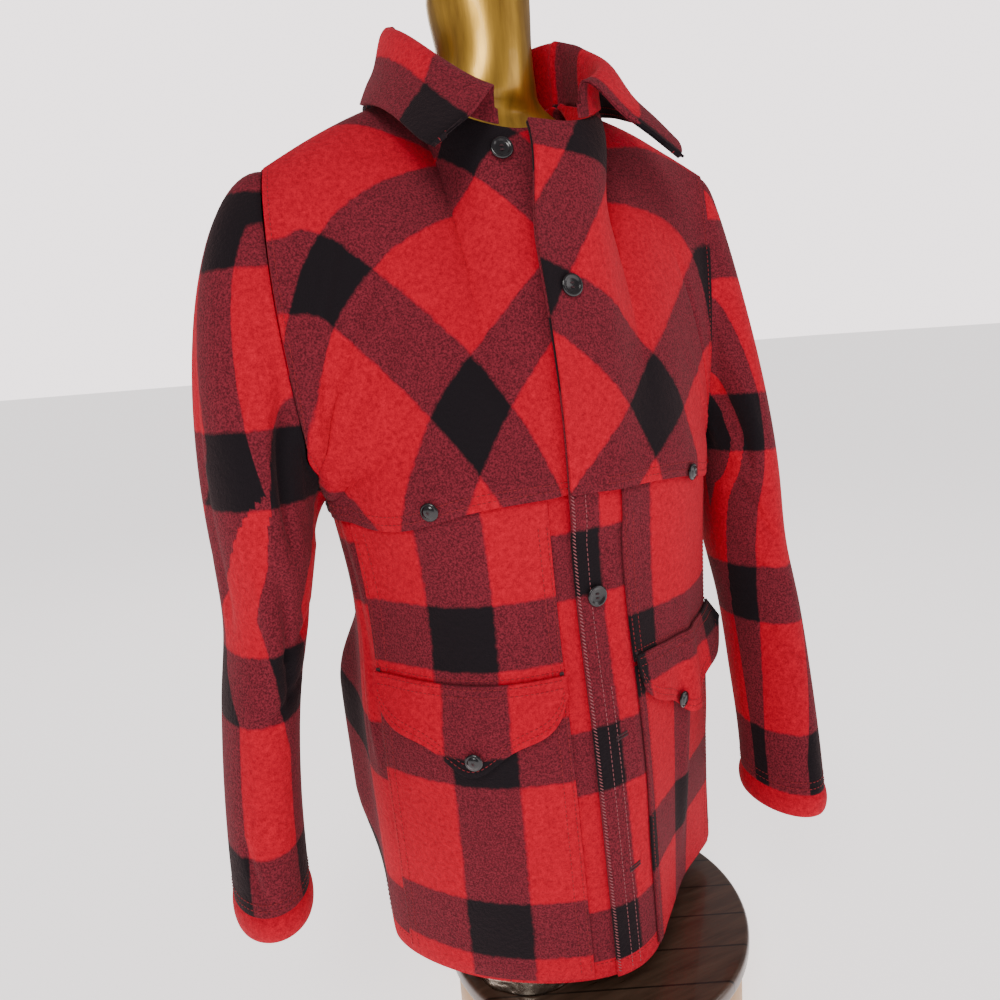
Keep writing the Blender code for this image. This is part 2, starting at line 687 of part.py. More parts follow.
def add_form(collection):
    """The dress form: a smooth torso and neck, two thigh stubs and a foil wrap round the foot of each."""
    gold = ((0.55, 0.36, 0.10), 0.32, 0.9)
    foil = ((0.45, 0.38, 0.30), 0.25, 0.9)
    angle = np.linspace(0, 2 * math.pi, FORM_SIDES, endpoint=False)
    rows = []
    for height, x, y, width, depth in FORM:
        rows.append(np.stack([x + width * np.sin(angle), y - depth * np.cos(angle), height + 0 * angle], -1))
    middle = rows[-1].mean(0)
    rows.append(middle + (rows[-1] - middle) * NECK_CAP_SHARE + (0, 0, NECK_CAP_RISE))
    mesh = grid_mesh("dress_form", np.array(rows), wrap=True, outward=1)
    closed = bmesh.new()
    closed.from_mesh(mesh)
    bmesh.ops.holes_fill(closed, edges=[edge for edge in closed.edges if edge.is_boundary])
    bmesh.ops.recalc_face_normals(closed, faces=closed.faces)
    closed.to_mesh(mesh)
    closed.free()
    new_object("dress_form", mesh, collection, gold)
    for side, word, y in ((-1, "right", THIGH_Y_RIGHT), (1, "left", THIGH_Y_LEFT)):
        foot = STAND_TOP + SEAM
        top = FORM_FLOOR - SEAM
        place = (THIGH_X + side * THIGH_SPACING, y, 0.0)
        stub = turned("thigh_" + word, ((0.0, top), (THIGH_RADIUS * 0.96, top), (THIGH_RADIUS, top - 0.02),
                                        (THIGH_RADIUS * 0.97, foot), (0.0, foot)), 24, collection, gold)
        stub.location = place
        inner, outer = THIGH_RADIUS + SEAM, THIGH_RADIUS + SEAM + FOIL_WALL
        wrap = turned("foil_" + word, ((inner, foot + FOIL_HEIGHT), (outer, foot + FOIL_HEIGHT),
                                       (outer, foot), (inner, foot), (inner, foot + FOIL_HEIGHT)),
                      24, collection, foil)
        wrap.location = place


def add_stand(collection):
    """The round stand: a tan wooden drum under a dark top of planks."""
    tan = ((0.50, 0.30, 0.14), 0.55)
    dark = ((0.055, 0.032, 0.020), 0.35)
    edge = 0.004
    drum = turned("stand_drum", ((0.0, DRUM_HEIGHT), (DRUM_RADIUS, DRUM_HEIGHT), (DRUM_RADIUS, 0.0), (0.0, 0.0)),
                  48, collection, tan)
    low = STAND_TOP - TOP_THICKNESS
    top = turned("stand_top", ((0.0, STAND_TOP), (TOP_RADIUS - edge, STAND_TOP), (TOP_RADIUS, STAND_TOP - edge),
                               (TOP_RADIUS, low + edge), (TOP_RADIUS - edge, low), (0.0, low)),
                 48, collection, dark)
    for thing in (drum, top):
        thing.location = (STAND_X, STAND_Y, 0.0)


def build():
    """Clear the scene and make every piece."""
    for thing in list(bpy.data.objects):
        bpy.data.objects.remove(thing, do_unlink=True)
    collection = bpy.data.collections.new(OBJECT_NAME)
    bpy.context.scene.collection.children.link(collection)
    add_fronts(collection)
    add_back(collection)
    add_yoke(collection)
    add_sleeves(collection)
    add_collar(collection)
    add_pockets(collection)
    add_buttons(collection)
    add_form(collection)
    add_stand(collection)


build()
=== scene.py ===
"""The looks of a heavy wool coat worn by a limbless dress form on a round stand.

The cloth's shape functions and sizes are those of the part's source, read on a finer grid, with the smaller creases
added. Every cloth piece carries its check as a UV map that counts repeats of the check: a maroon band runs wherever
either number is near a whole one, and a black square lies where both are.
"""
import functools
import math

import bmesh
import bpy
import numpy as np
from mathutils import Matrix, Vector


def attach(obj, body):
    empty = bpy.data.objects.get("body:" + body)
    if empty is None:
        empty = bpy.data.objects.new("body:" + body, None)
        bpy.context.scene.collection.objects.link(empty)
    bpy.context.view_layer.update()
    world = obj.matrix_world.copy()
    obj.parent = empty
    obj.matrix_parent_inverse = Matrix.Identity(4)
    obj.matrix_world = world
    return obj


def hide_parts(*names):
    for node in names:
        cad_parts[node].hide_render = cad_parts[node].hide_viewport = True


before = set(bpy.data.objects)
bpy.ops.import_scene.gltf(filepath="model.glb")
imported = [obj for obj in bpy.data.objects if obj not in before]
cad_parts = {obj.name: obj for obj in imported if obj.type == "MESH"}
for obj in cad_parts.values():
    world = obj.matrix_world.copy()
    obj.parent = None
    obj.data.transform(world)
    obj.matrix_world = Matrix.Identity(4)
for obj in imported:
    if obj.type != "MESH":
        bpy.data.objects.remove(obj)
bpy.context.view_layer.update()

# cloth
WALL = 0.0024
AIR = 0.0008
LAYER = WALL + AIR
SEAM = 0.0003
PANEL_REACH = 0.40
PANEL_RISE = 0.30

# stand
DRUM_RADIUS = 0.156
DRUM_HEIGHT = 0.0817
TOP_RADIUS = 0.164
TOP_THICKNESS = 0.018
STAND_X = 0.037
STAND_Y = -0.0215
STAND_TOP = 0.100

# heights of the coat
HEM = 0.132
UNDERARM = 0.600
YOKE_EDGE = 0.583
YOKE_FRONT_LIFT = 0.010
YOKE_DIP_RIGHT = 0.019
YOKE_DIP_LEFT = 0.014
BACK_HEM_RISE_RIGHT = 0.100
BACK_HEM_RISE = 0.045

# body sections: height, right side x, left side x, front x, front y, right chest y, left chest y, back y
BODY = (
    (0.132, -0.176, 0.206, 0.016, -0.138, -0.094, -0.060, 0.122),
    (0.240, -0.179, 0.203, 0.011, -0.137, -0.098, -0.070, 0.118),
    (0.370, -0.182, 0.200, 0.006, -0.133, -0.102, -0.082, 0.110),
    (0.500, -0.179, 0.198, 0.003, -0.119, -0.104, -0.090, 0.102),
    (0.600, -0.192, 0.200, 0.000, -0.120, -0.108, -0.096, 0.098),
)
CHEST_ACROSS = 0.60
BACK_ACROSS = 0.74
BACK_DEPTH = 0.80
SIDE_Y = 0.004

# neck and shoulders
NECK_FRONT = (0.0, -0.066, 0.893)
NECK_BACK = (0.0, 0.104, 0.940)
NECK_SIDE = (0.072, 0.040, 0.948)
SHOULDER_TIP = (0.2150, 0.0, 0.872)
SHOULDER_ARCH = 0.005
NECK_SHARE = 0.30
SPREAD_RIGHT = 0.020
SPREAD_LEFT = 0.020

# pull of the columns above the underarm: across, start y, start z, end x, end y, end z
FRONT_PULL = (
    (0.00, 0.000, 0.100, 0.000, -0.033, -0.085),
    (0.30, 0.000, 0.120, 0.000, -0.050, -0.030),
    (0.70, 0.000, 0.110, 0.000, -0.060, -0.015),
    (1.00, -0.085, 0.020, 0.000, -0.066, -0.050),
)
BACK_PULL = (
    (0.00, 0.012, 0.100, 0.000, 0.012, -0.070),
    (0.30, 0.014, 0.110, 0.000, 0.045, -0.030),
    (0.70, 0.010, 0.110, 0.000, 0.060, -0.015),
    (1.00, 0.080, 0.020, 0.000, 0.062, -0.050),
)
ARM_BOW_RIGHT = (-0.036, -0.024)
ARM_BOW_LEFT = (-0.006, -0.014)

# folds pressed out of the panels: side, face, across, width, low, high, depth, slant
FOLDS = (
    (-1, "front", 0.90, 0.070, 0.55, 1.45, 0.006, 0.10),
    (-1, "back", 0.74, 0.150, -0.05, 0.74, 0.026, 0.00),
    (-1, "back", 0.35, 0.090, 0.15, 1.10, 0.006, 0.04),
    (1, "back", 0.30, 0.090, 0.10, 1.15, 0.007, -0.05),
    (1, "back", 0.75, 0.080, 0.15, 1.25, 0.007, 0.05),
    (1, "front", 0.45, 0.080, 0.05, 0.80, 0.006, 0.05),
)

# grids
FRONT_COLUMNS = 72
BACK_COLUMNS = 108
LAP_COLUMNS = 6
LOW_ROWS = 72
HIGH_ROWS = 60
CAD_HIGH_ROWS = 10
CAD_CAP_ROWS = 5
CAD_SLEEVE_ROWS = 9

# sleeves: height, centre x, centre y, half width, half depth, for each side
SLEEVE_RIGHT = (
    (0.560, -0.256, 0.006, 0.044, 0.078),
    (0.500, -0.263, 0.000, 0.037, 0.068),
    (0.430, -0.277, -0.008, 0.034, 0.062),
    (0.350, -0.287, -0.018, 0.033, 0.057),
    (0.290, -0.291, -0.026, 0.033, 0.053),
    (0.262, -0.292, -0.030, 0.033, 0.051),
)
SLEEVE_LEFT = (
    (0.560, 0.247, -0.010, 0.037, 0.060),
    (0.500, 0.242, -0.028, 0.035, 0.056),
    (0.430, 0.243, -0.050, 0.034, 0.053),
    (0.350, 0.235, -0.078, 0.033, 0.052),
    (0.290, 0.228, -0.098, 0.033, 0.050),
    (0.257, 0.224, -0.107, 0.033, 0.050),
)
CAP_REACH_RIGHT = (0.045, 0.010)
CAP_REACH_LEFT = (0.018, -0.020)
SLEEVE_CAP_ROWS = 30
SLEEVE_ROWS = 72
ARMHOLE_GAP = 0.0009
CUFF_HEIGHT = 0.024
CUFF_GROWTH = 1.06

# collar: share of its width, share of the stand's height, share of the roll's width, share of the leaf
COLLAR = (
    (0.03, 0.00, 0.00),
    (0.45, -0.10, 0.00),
    (0.85, 0.00, 0.00),
    (1.00, 0.45, 0.00),
    (0.92, 1.00, 0.08),
    (0.70, 1.10, 0.36),
    (0.70, 1.10, 0.68),
    (0.70, 1.00, 1.00),
)
COLLAR_COLUMNS = 144
COLLAR_START = 0.04
STAND_BACK = 0.066
STAND_FRONT = 0.028
ROLL_WIDTH = 0.012
LEAF_OUT = 0.026
LEAF_FALL = 0.049
POINT_RIGHT = (-0.066, -0.024, -0.046)
POINT_LEFT = (0.066, -0.034, -0.060)

# pockets: front and side edge across each front, right then left, and the seam between the two patches
PATCH_EDGES = ((0.165, 0.865), (0.125, 0.800))
PATCH_SPLIT = 0.429
PATCH_TOP = 0.594
FLAP_TOP = 0.008
FLAP_MIDDLE = 0.082
FLAP_ENDS = 0.052
FLAP_LOBE = 0.0035
FLAP_REST = 0.0020
FLAP_STAND = (0.002, 0.012)
FLAP_COLUMNS = 64
FLAP_ROWS = 20

# buttons
FRONT_BUTTON_RADIUS = 0.0098
FRONT_BUTTON_THICKNESS = 0.0032
DOME_BUTTON_RADIUS = 0.0080
DOME_BUTTON_THICKNESS = 0.0050
BUTTON_SPACING = 0.131
SECOND_BUTTON = 0.762
NECK_BUTTON = 0.874
BUTTON_GAP = 0.0006
FLAP_BUTTON_DROP_RIGHT = 0.058
FLAP_BUTTON_DROP_LEFT = 0.054

# dress form
FORM_FLOOR = 0.255
FORM = (
    (0.255, 0.016, 0.012, 0.128, 0.082),
    (0.300, 0.016, 0.008, 0.150, 0.090),
    (0.380, 0.014, 0.004, 0.158, 0.090),
    (0.480, 0.012, 0.004, 0.150, 0.080),
    (0.600, 0.008, 0.002, 0.160, 0.082),
    (0.700, 0.004, 0.004, 0.172, 0.080),
    (0.780, 0.002, 0.010, 0.176, 0.070),
    (0.838, 0.000, 0.014, 0.174, 0.056),
    (0.873, 0.000, 0.018, 0.164, 0.040),
    (0.899, 0.000, 0.024, 0.138, 0.032),
    (0.918, 0.000, 0.034, 0.104, 0.034),
    (0.933, 0.000, 0.042, 0.074, 0.040),
    (0.945, 0.000, 0.046, 0.058, 0.049),
    (0.960, 0.004, 0.046, 0.0500, 0.0500),
    (1.040, 0.004, 0.046, 0.0490, 0.0490),
)
NECK_CAP_RISE = 0.008
NECK_CAP_SHARE = 0.8
FORM_SIDES = 28
THIGH_RADIUS = 0.0630
THIGH_SPACING = 0.0655
THIGH_X = 0.016
THIGH_Y_RIGHT = -0.035
THIGH_Y_LEFT = 0.003
FOIL_HEIGHT = 0.030
FOIL_WALL = 0.0015


def smooth(value):
    """A step from 0 to 1 with level ends."""
    value = np.clip(value, 0.0, 1.0)
    return value * value * (3.0 - 2.0 * value)


def bump(value):
    """A rounded hump, 1 in the middle and near 0 beyond one width."""
    return np.exp(-value * value * 2.5)


def through(stations, values, where):
    """A smooth curve through values at stations, read at the places in where."""
    stations = np.asarray(stations, float)
    values = np.asarray(values, float)
    slopes = np.gradient(values, stations)
    where = np.clip(where, stations[0], stations[-1])
    index = np.clip(np.searchsorted(stations, where) - 1, 0, len(stations) - 2)
    span = stations[index + 1] - stations[index]
    t = (where - stations[index]) / span
    first = values[index] * (1 + 2 * t) * (1 - t) ** 2 + slopes[index] * span * t * (1 - t) ** 2
    second = values[index + 1] * t * t * (3 - 2 * t) - slopes[index + 1] * span * t * t * (1 - t)
    return first + second


def columns(table, where):
    """Every column of a table, read smoothly at the places in where along its first column."""
    table = np.asarray(sorted(table), float)
    return [through(table[:, 0], table[:, k], where) for k in range(1, table.shape[1])]


def ring(height, turn):
    """A point of the body below the underarm. Turn is 0 at the front, 0.5 at the left side and 1 at the back."""
    right, left, front_x, front, right_chest, left_chest, back = columns(BODY, height)
    zero = np.zeros_like(right)
    knots_x = np.stack([front_x, CHEST_ACROSS * left, left, BACK_ACROSS * left,
                        zero, BACK_ACROSS * right, right, CHEST_ACROSS * right], -1)
    side = zero + SIDE_Y
    knots_y = np.stack([front, left_chest, side, BACK_DEPTH * back,
                        back, BACK_DEPTH * back, side, right_chest], -1)
    place = np.mod(turn, 2.0) * 4.0
    index = np.floor(place).astype(int)
    t = place - index
    result = []
    for knots in (knots_x, knots_y):
        before, here, after, beyond = (
            np.take_along_axis(knots, ((index + k) % 8)[..., None], -1)[..., 0] for k in (-1, 0, 1, 2))
        result.append(here + 0.5 * t * (after - before + t * (
            2 * before - 5 * here + 4 * after - beyond + t * (3 * (here - after) + beyond - before))))
    return np.stack([result[0], result[1], height + zero], -1)


def top_edge(side, face, across):
    """The neckline up to its share of the panel, then the shoulder seam out to its tip."""
    centre = np.array(NECK_FRONT if face == "front" else NECK_BACK)
    corner = np.array(NECK_SIDE)
    tip = np.array(SHOULDER_TIP)
    mirror = np.where(across < 0, -1.0, 1.0)
    span = np.abs(across) if side < 0 or face == "back" else np.maximum(across, 0.0)
    angle = np.clip(span / NECK_SHARE, 0, 1) * math.pi / 2
    neck_x = corner[0] * np.sin(np.clip(np.abs(across) / NECK_SHARE, 0, 1) * math.pi / 2)
    neck_y = corner[1] + (centre[1] - corner[1]) * np.cos(angle)
    neck_z = corner[2] + (centre[2] - corner[2]) * np.cos(angle) ** 1.5
    share = np.clip((span - NECK_SHARE) / (1 - NECK_SHARE), 0, 1)
    line = corner + (tip - corner) * share[..., None]
    line[..., 2] += SHOULDER_ARCH * np.sin(share * math.pi)
    neck = np.stack([neck_x, neck_y, neck_z], -1)
    point = np.where((span < NECK_SHARE)[..., None], neck, line)
    point[..., 0] *= mirror * side
    return point


def hem_rise(side, across):
    """How far the back's hem rides up, most beside the wearer's right side seam."""
    rise = BACK_HEM_RISE * smooth((1 - across) / 0.6)
    if side < 0:
        rise = rise + (BACK_HEM_RISE_RIGHT - BACK_HEM_RISE) * smooth((1 - across) / 0.3) * smooth(across / 0.5)
    return rise


def plain_body(side, face, across, up):
    """The body surface before its folds."""
    turn = across * 0.5 if face == "front" else 1.0 - across * 0.5
    low = ring(HEM + (UNDERARM - HEM) * np.clip(up, 0, 1), side * turn)
    if face == "back":
        low[..., 2] += hem_rise(side, across) * (1 - np.clip(up, 0, 1))
    start = ring(UNDERARM + 0 * across, side * turn)
    end = top_edge(side, face, across)
    start_y, start_z, end_x, end_y, end_z = columns(
        FRONT_PULL if face == "front" else BACK_PULL, np.clip(np.abs(across), 0, 1))
    bow = ARM_BOW_RIGHT if side < 0 else ARM_BOW_LEFT
    reach = smooth((across - 0.6) / 0.4)
    short = 1.0 if side < 0 or face == "back" else 0.62
    depth = 1.0 - (1.0 - short) * reach
    first = start + np.stack([bow[0] * reach, start_y * depth, start_z], -1)
    last = end + np.stack([end_x + bow[1] * reach, end_y * depth, end_z], -1)
    t = np.clip(up - 1, 0, 1)[..., None]
    high = start * (1 - t) ** 3 + 3 * first * t * (1 - t) ** 2 + 3 * last * t * t * (1 - t) + end * t ** 3
    point = np.where((up <= 1)[..., None], low, high)
    if face == "front":
        spread = SPREAD_RIGHT if side < 0 else SPREAD_LEFT
        open_neck = smooth((up - 1.60) / 0.40) * smooth(1 - np.abs(across) / 0.45)
        point[..., 0] += side * spread * open_neck
    return point


def normal_of(surface, across, up, sign):
    """The outward unit normal of a surface function."""
    step = 0.004
    low_a, high_a = across - step, np.minimum(across + step, 1.0)
    low_u, high_u = np.maximum(up - step, 0.0), np.minimum(up + step, 2.0)
    along = surface(high_a, up) - surface(low_a, up)
    rise = surface(across, high_u) - surface(across, low_u)
    normal = np.cross(along, rise) * sign
    return normal / np.linalg.norm(normal, axis=-1, keepdims=True)


def facing(side, face):
    """The sign that turns across x up into an outward normal."""
    return side * (1.0 if face == "front" else -1.0)


def fold_height(side, face, across, up):
    """How far the folds stand out of the panel."""
    height = np.zeros_like(across)
    for fold_side, fold_face, centre, width, low, high, depth, slant in FOLDS:
        if (fold_side, fold_face) == (side, face):
            middle = centre + slant * (up - (low + high) / 2)
            length = smooth((up - low) / 0.25) * smooth((high - up) / 0.25)
            height = height + depth * bump((across - middle) / width) * length
    return height + crease_height(BODY_CREASES, (side, face), across, up, 0.32, 0.468)


def body(side, face, across, up):
    """The body surface with its folds."""
    across, up = np.broadcast_arrays(np.asarray(across, float), np.asarray(up, float))
    normal = normal_of(lambda a, u: plain_body(side, face, a, u), across, up, facing(side, face))
    return plain_body(side, face, across, up) + normal * fold_height(side, face, across, up)[..., None]


def level(height):
    """The value of up at a height below the underarm."""
    return (height - HEM) / (UNDERARM - HEM)


def lap_lift(side, face, across, up):
    """How far the wearer's left front rides over the right one: at the yoke it crosses one layer more."""
    if side < 0 or face == "back":
        return np.zeros_like(across)
    layers = 1.0 + smooth((up - level(YOKE_EDGE - 0.035)) / 0.05) + 1.5 * smooth((up - 1.5) / 0.4)
    return layers * LAYER * smooth(1 - (across - 0.10) / 0.16)


def panel_columns(face):
    """Where the columns of a panel lie. Every layer over the panel shares them."""
    count = FRONT_COLUMNS if face == "front" else BACK_COLUMNS // 2
    lap = LAP_COLUMNS if face == "front" else 0
    across = np.linspace(-lap / count, 1.0, count + lap + 1)
    across[-1] -= SEAM / PANEL_REACH
    return across


def panel_rows():
    """The rows of a panel, from the hem over the underarm line to the neck and shoulder."""
    lower = np.linspace(0.0, 1.0, LOW_ROWS + 1)
    upper = np.linspace(1.0, 2.0 - SEAM / PANEL_RISE, HIGH_ROWS + 1)[1:]
    return np.concatenate([lower, upper])


def grid_normals(points, sign):
    """Outward normals at the points of a grid, from the faces round each."""
    along = points[:-1, 1:] - points[:-1, :-1]
    rise = points[1:, :-1] - points[:-1, :-1]
    far_along = points[1:, 1:] - points[1:, :-1]
    far_rise = points[1:, 1:] - points[:-1, 1:]
    face = np.cross(along + far_along, rise + far_rise) * sign
    face /= np.linalg.norm(face, axis=-1, keepdims=True)
    total = np.zeros_like(points)
    for down in (0, 1):
        for over in (0, 1):
            total[down:len(points) - 1 + down, over:points.shape[1] - 1 + over] += face
    return total / np.linalg.norm(total, axis=-1, keepdims=True)


@functools.lru_cache(maxsize=None)
def panel(side, face):
    """The grid of a panel: its columns, rows, points and outward normals."""
    across, up = panel_columns(face), panel_rows()
    a, u = np.meshgrid(across, up)
    points = body(side, face, a, u)
    points = points + grid_normals(points, facing(side, face)) * lap_lift(side, face, a, u)[..., None]
    return across, up, points, grid_normals(points, facing(side, face))


def on_panel(side, face, across, up, lift):
    """Points of a panel's faces moved out by lift."""
    columns_at, rows_at, points, normals = panel(side, face)
    across, up, lift = np.broadcast_arrays(*(np.asarray(value, float) for value in (across, up, lift)))
    c = np.clip(np.searchsorted(columns_at, across, "right") - 1, 0, len(columns_at) - 2)
    r = np.clip(np.searchsorted(rows_at, up, "right") - 1, 0, len(rows_at) - 2)
    s = ((across - columns_at[c]) / (columns_at[c + 1] - columns_at[c]))[..., None]
    t = ((up - rows_at[r]) / (rows_at[r + 1] - rows_at[r]))[..., None]
    place, out = (
        (grid[r, c] * (1 - s) + grid[r, c + 1] * s) * (1 - t)
        + (grid[r + 1, c] * (1 - s) + grid[r + 1, c + 1] * s) * t for grid in (points, normals))
    return place + out * lift[..., None]


def whole_back(left, right):
    """One grid from the two halves of the back, given from the middle out."""
    middle = (left[:, :1] + right[:, :1]) / 2
    return np.concatenate([left[:, :0:-1], middle, right[:, 1:]], 1)


def yoke_low(side, face, across):
    """Where the yoke's free edge lies."""
    if face == "back":
        return level(YOKE_EDGE) + 0 * across
    dip = YOKE_DIP_RIGHT if side < 0 else YOKE_DIP_LEFT
    return level(YOKE_EDGE + YOKE_FRONT_LIFT - dip * bump((across - 0.72) / 0.34))


def yoke_points(side, face):
    """The yoke over one panel, from its free edge to the shoulder. It clears the patch tops under its edge."""
    across, rows = panel(side, face)[:2]
    share = np.concatenate([np.linspace(0, 0.12, 9)[:-1], np.linspace(0.12, 1, HIGH_ROWS)])
    low = yoke_low(side, face, across)
    a, t = np.meshgrid(across, share)
    u = low + (rows[-1] - low) * t
    extra = yoke_extra(side, a, u) if face == "front" else 0 * u
    return a, u, on_panel(side, face, a, u, LAYER + extra)


def armhole(side):
    """The armhole just outside the yoke's edge, from the underarm up the front and down the back."""
    rows = panel_rows()
    up = rows[rows > 0.9999]
    edges = []
    for face in ("front", "back"):
        edge = on_panel(side, face, 1.0, up, LAYER)
        lean = (on_panel(side, face, 1.0, up, LAYER + WALL) - edge)[:, 0] * side
        edge[:, 0] += side * (ARMHOLE_GAP + np.maximum(lean, 0.0))
        edges.append(edge)
    front, back = edges
    top = (front[-1:] + back[-1:]) / 2
    bottom = (front[:1] + back[:1]) / 2
    return np.concatenate([bottom, front[1:-1], top, back[-2:0:-1]])


def sleeve_ring(table, height, count):
    """A level ring of the sleeve, from the inner side over the front, outer side and back."""
    x, y, width, depth = (float(value) for value in columns(table, np.array(height)))
    angle = np.linspace(0, 2 * math.pi, count, endpoint=False)
    side = math.copysign(1.0, x)
    return np.stack([x - side * width * np.cos(angle), y - depth * np.sin(angle),
                     height + 0 * angle], -1)


def sleeve_points(side):
    """The sleeve from its armhole down to the cuff."""
    table = SLEEVE_RIGHT if side < 0 else SLEEVE_LEFT
    loop = armhole(side)
    count = len(loop)
    reach, tuck = CAP_REACH_RIGHT if side < 0 else CAP_REACH_LEFT
    first = sleeve_ring(table, table[0][0], count)
    angle = np.linspace(0, 2 * math.pi, count, endpoint=False)
    outer = (1 - np.cos(angle)) / 2
    out = np.stack([side * (0.006 + reach * outer), 0 * outer, 0 * outer], -1)
    rise = np.stack([side * tuck * outer, 0 * outer, 0.012 + 0.150 * outer], -1)
    rows = []
    for t in np.linspace(0, 1, SLEEVE_CAP_ROWS + 1):
        rows.append(loop * (1 - t) ** 3 + 3 * (loop + out) * t * (1 - t) ** 2
                    + 3 * (first + rise) * t * t * (1 - t) + first * t ** 3)
    for height in np.linspace(table[0][0], table[-1][0], SLEEVE_ROWS + 1)[1:]:
        rows.append(sleeve_ring(table, height, count))
    return np.array(rows)


def neckline(share):
    """The neck seam from the wearer's right front, round the back, to the left front, between the layers."""
    points = []
    for value in share:
        side = -1 if value < 0.5 else 1
        reach = abs(value - 0.5) * 2
        face = "front" if reach > 0.5 else "back"
        across = NECK_SHARE * (1 - abs(2 * reach - 1)) if face == "front" else NECK_SHARE * 2 * reach
        across = max(across, COLLAR_START) if face == "front" else across
        points.append(on_panel(side, face, across, 2.0, LAYER + WALL))
    return np.array(points)


def flap_drop(share):
    """A flap's depth across its width: round corners, shallow side lobes and a deeper middle."""
    corner = np.sqrt(np.clip(1 - (np.abs(share - 0.5) * 2) ** 6, 0.12, 1))
    return (FLAP_ENDS + (FLAP_MIDDLE - FLAP_ENDS) * bump((share - 0.5) / 0.30)) * corner


def between(values, low, high):
    """The grid lines between two edges, with the edges themselves."""
    inside = values[(values > low + 0.02) & (values < high - 0.02)]
    return np.concatenate([[low], inside, [high]])


def button_place(side, across, up, lift):
    """The placement of a button on the body, its face turned out of the cloth."""
    point = on_panel(side, "front", across, up, lift)
    further = on_panel(side, "front", across, up, lift + 0.01)
    turn = Vector(further - point).to_track_quat("Z", "Y").to_matrix().to_4x4()
    return Matrix.Translation(Vector(point)) @ turn


def up_at(side, across, height):
    """The value of up at which a front reaches a height."""
    rows = panel(side, "front")[1]
    return float(np.interp(height, on_panel(side, "front", across, rows, 0.0)[:, 2], rows))


# check: its repeat in metres and the share of it that a band takes
REPEAT = 0.178
BAND = 0.168

# the back's check is moved sideways by this share of a repeat, so no band runs down its middle
BACK_SHIFT = 0.35

# the turned band starts inside the sleeve's end: its width there and how far up it starts
CUFF_TUCK = 0.95
CUFF_TUCK_RISE = 0.003

# where one black square is centred on each straight-cut piece: across, height, and repeats in one unit across
# before and after it, or None for the cloth's own length
SQUARES = {
    "front_right": (0.450, 0.530, None, None),
    "front_left": (-0.085, 0.532, None, None),
    "back_left": (0.0, 0.530, None, None),
    "back_right": (0.0, 0.530, None, None),
    "chest_patch_right": (0.521, 0.478, None, None),
    "chest_patch_left": (0.127, 0.445, None, 1.25),
    "lower_patch_right": (0.472, 0.370, None, None),
    "lower_patch_left": (0.403, 0.250, 3.5, None),
    "flap_right": (0.490, 0.520, None, None),
    "flap_left": (0.760, 0.440, None, None),
}

# black squares and their corners on the bias yoke: across, up, and the two numbers there
YOKE_SQUARES = {
    -1: (
        (0.389, 1.163, 0, 0), (0.797, 1.517, 1, 0), (0.093, 1.910, 1, 1), (0.342, 1.262, BAND, BAND),
        (0.649, 1.476, 1 - BAND, BAND), (0.201, 1.693, 1 - BAND, 1 - BAND), (0.035, 1.641, BAND, 1 - BAND),
        (0.801, 1.635, 1 + BAND, BAND), (0.811, 1.416, 1 - BAND, -BAND), (0.533, 1.172, BAND, -BAND),
        (0.223, 1.172, -BAND, BAND), (0.422, 1.059, -BAND, -BAND), (0.656, 1.290, 0.5, -BAND),
    ),
    1: (
        (0.313, 1.142, 0, 0), (0.353, 1.232, BAND, BAND), (0.295, 1.032, -BAND, -BAND), (0.162, 1.161, BAND, -BAND),
        (0.512, 1.142, -BAND, BAND), (0.100, 1.900, 1, 1), (-0.130, 1.480, 1, 0), (1.080, 1.620, 0, 1), (0.057, 1.350, 0.5, -BAND),
    ),
}

# sleeves: rows and, at each, the turn of every maroon stripe round the sleeve, with its number
SLEEVE_STRIPES = {
    -1: (
        (-1, (1.5, 4.0, 6.3, 8.5, 10.0, 14.0), (0.124, 0.160, 0.230, 0.130, 0.070, 0.050)),
        (0, (0.5, 2.0, 3.9, 5.0, 6.3, 7.8, 9.0, 14.0), (0.480, 0.400, 0.318, 0.460, 0.550, 0.520, 0.440, 0.425)),
        (1, (0.0, 14.0), (0.850, 0.850)),
    ),
    1: (
        (-1, (0.0, 3.0, 6.0), (0.097, 0.080, -0.060)),
        (0, (0.0, 3.3, 5.6, 8.4, 12.7), (0.235, 0.227, 0.127, 0.060, 0.000)),
        (1, (0.0, 5.0, 10.0, 13.1), (0.520, 0.480, 0.360, 0.270)),
        (2, (0.0, 14.0), (0.880, 0.800)),
    ),
}
STRIPE_TURN = {-1: 0.080, 1: 0.055}
SLEEVE_BANDS = {-1: (0.285, 0.454, 0.637, 0.825), 1: (0.287, 0.445, 0.625, 0.800)}

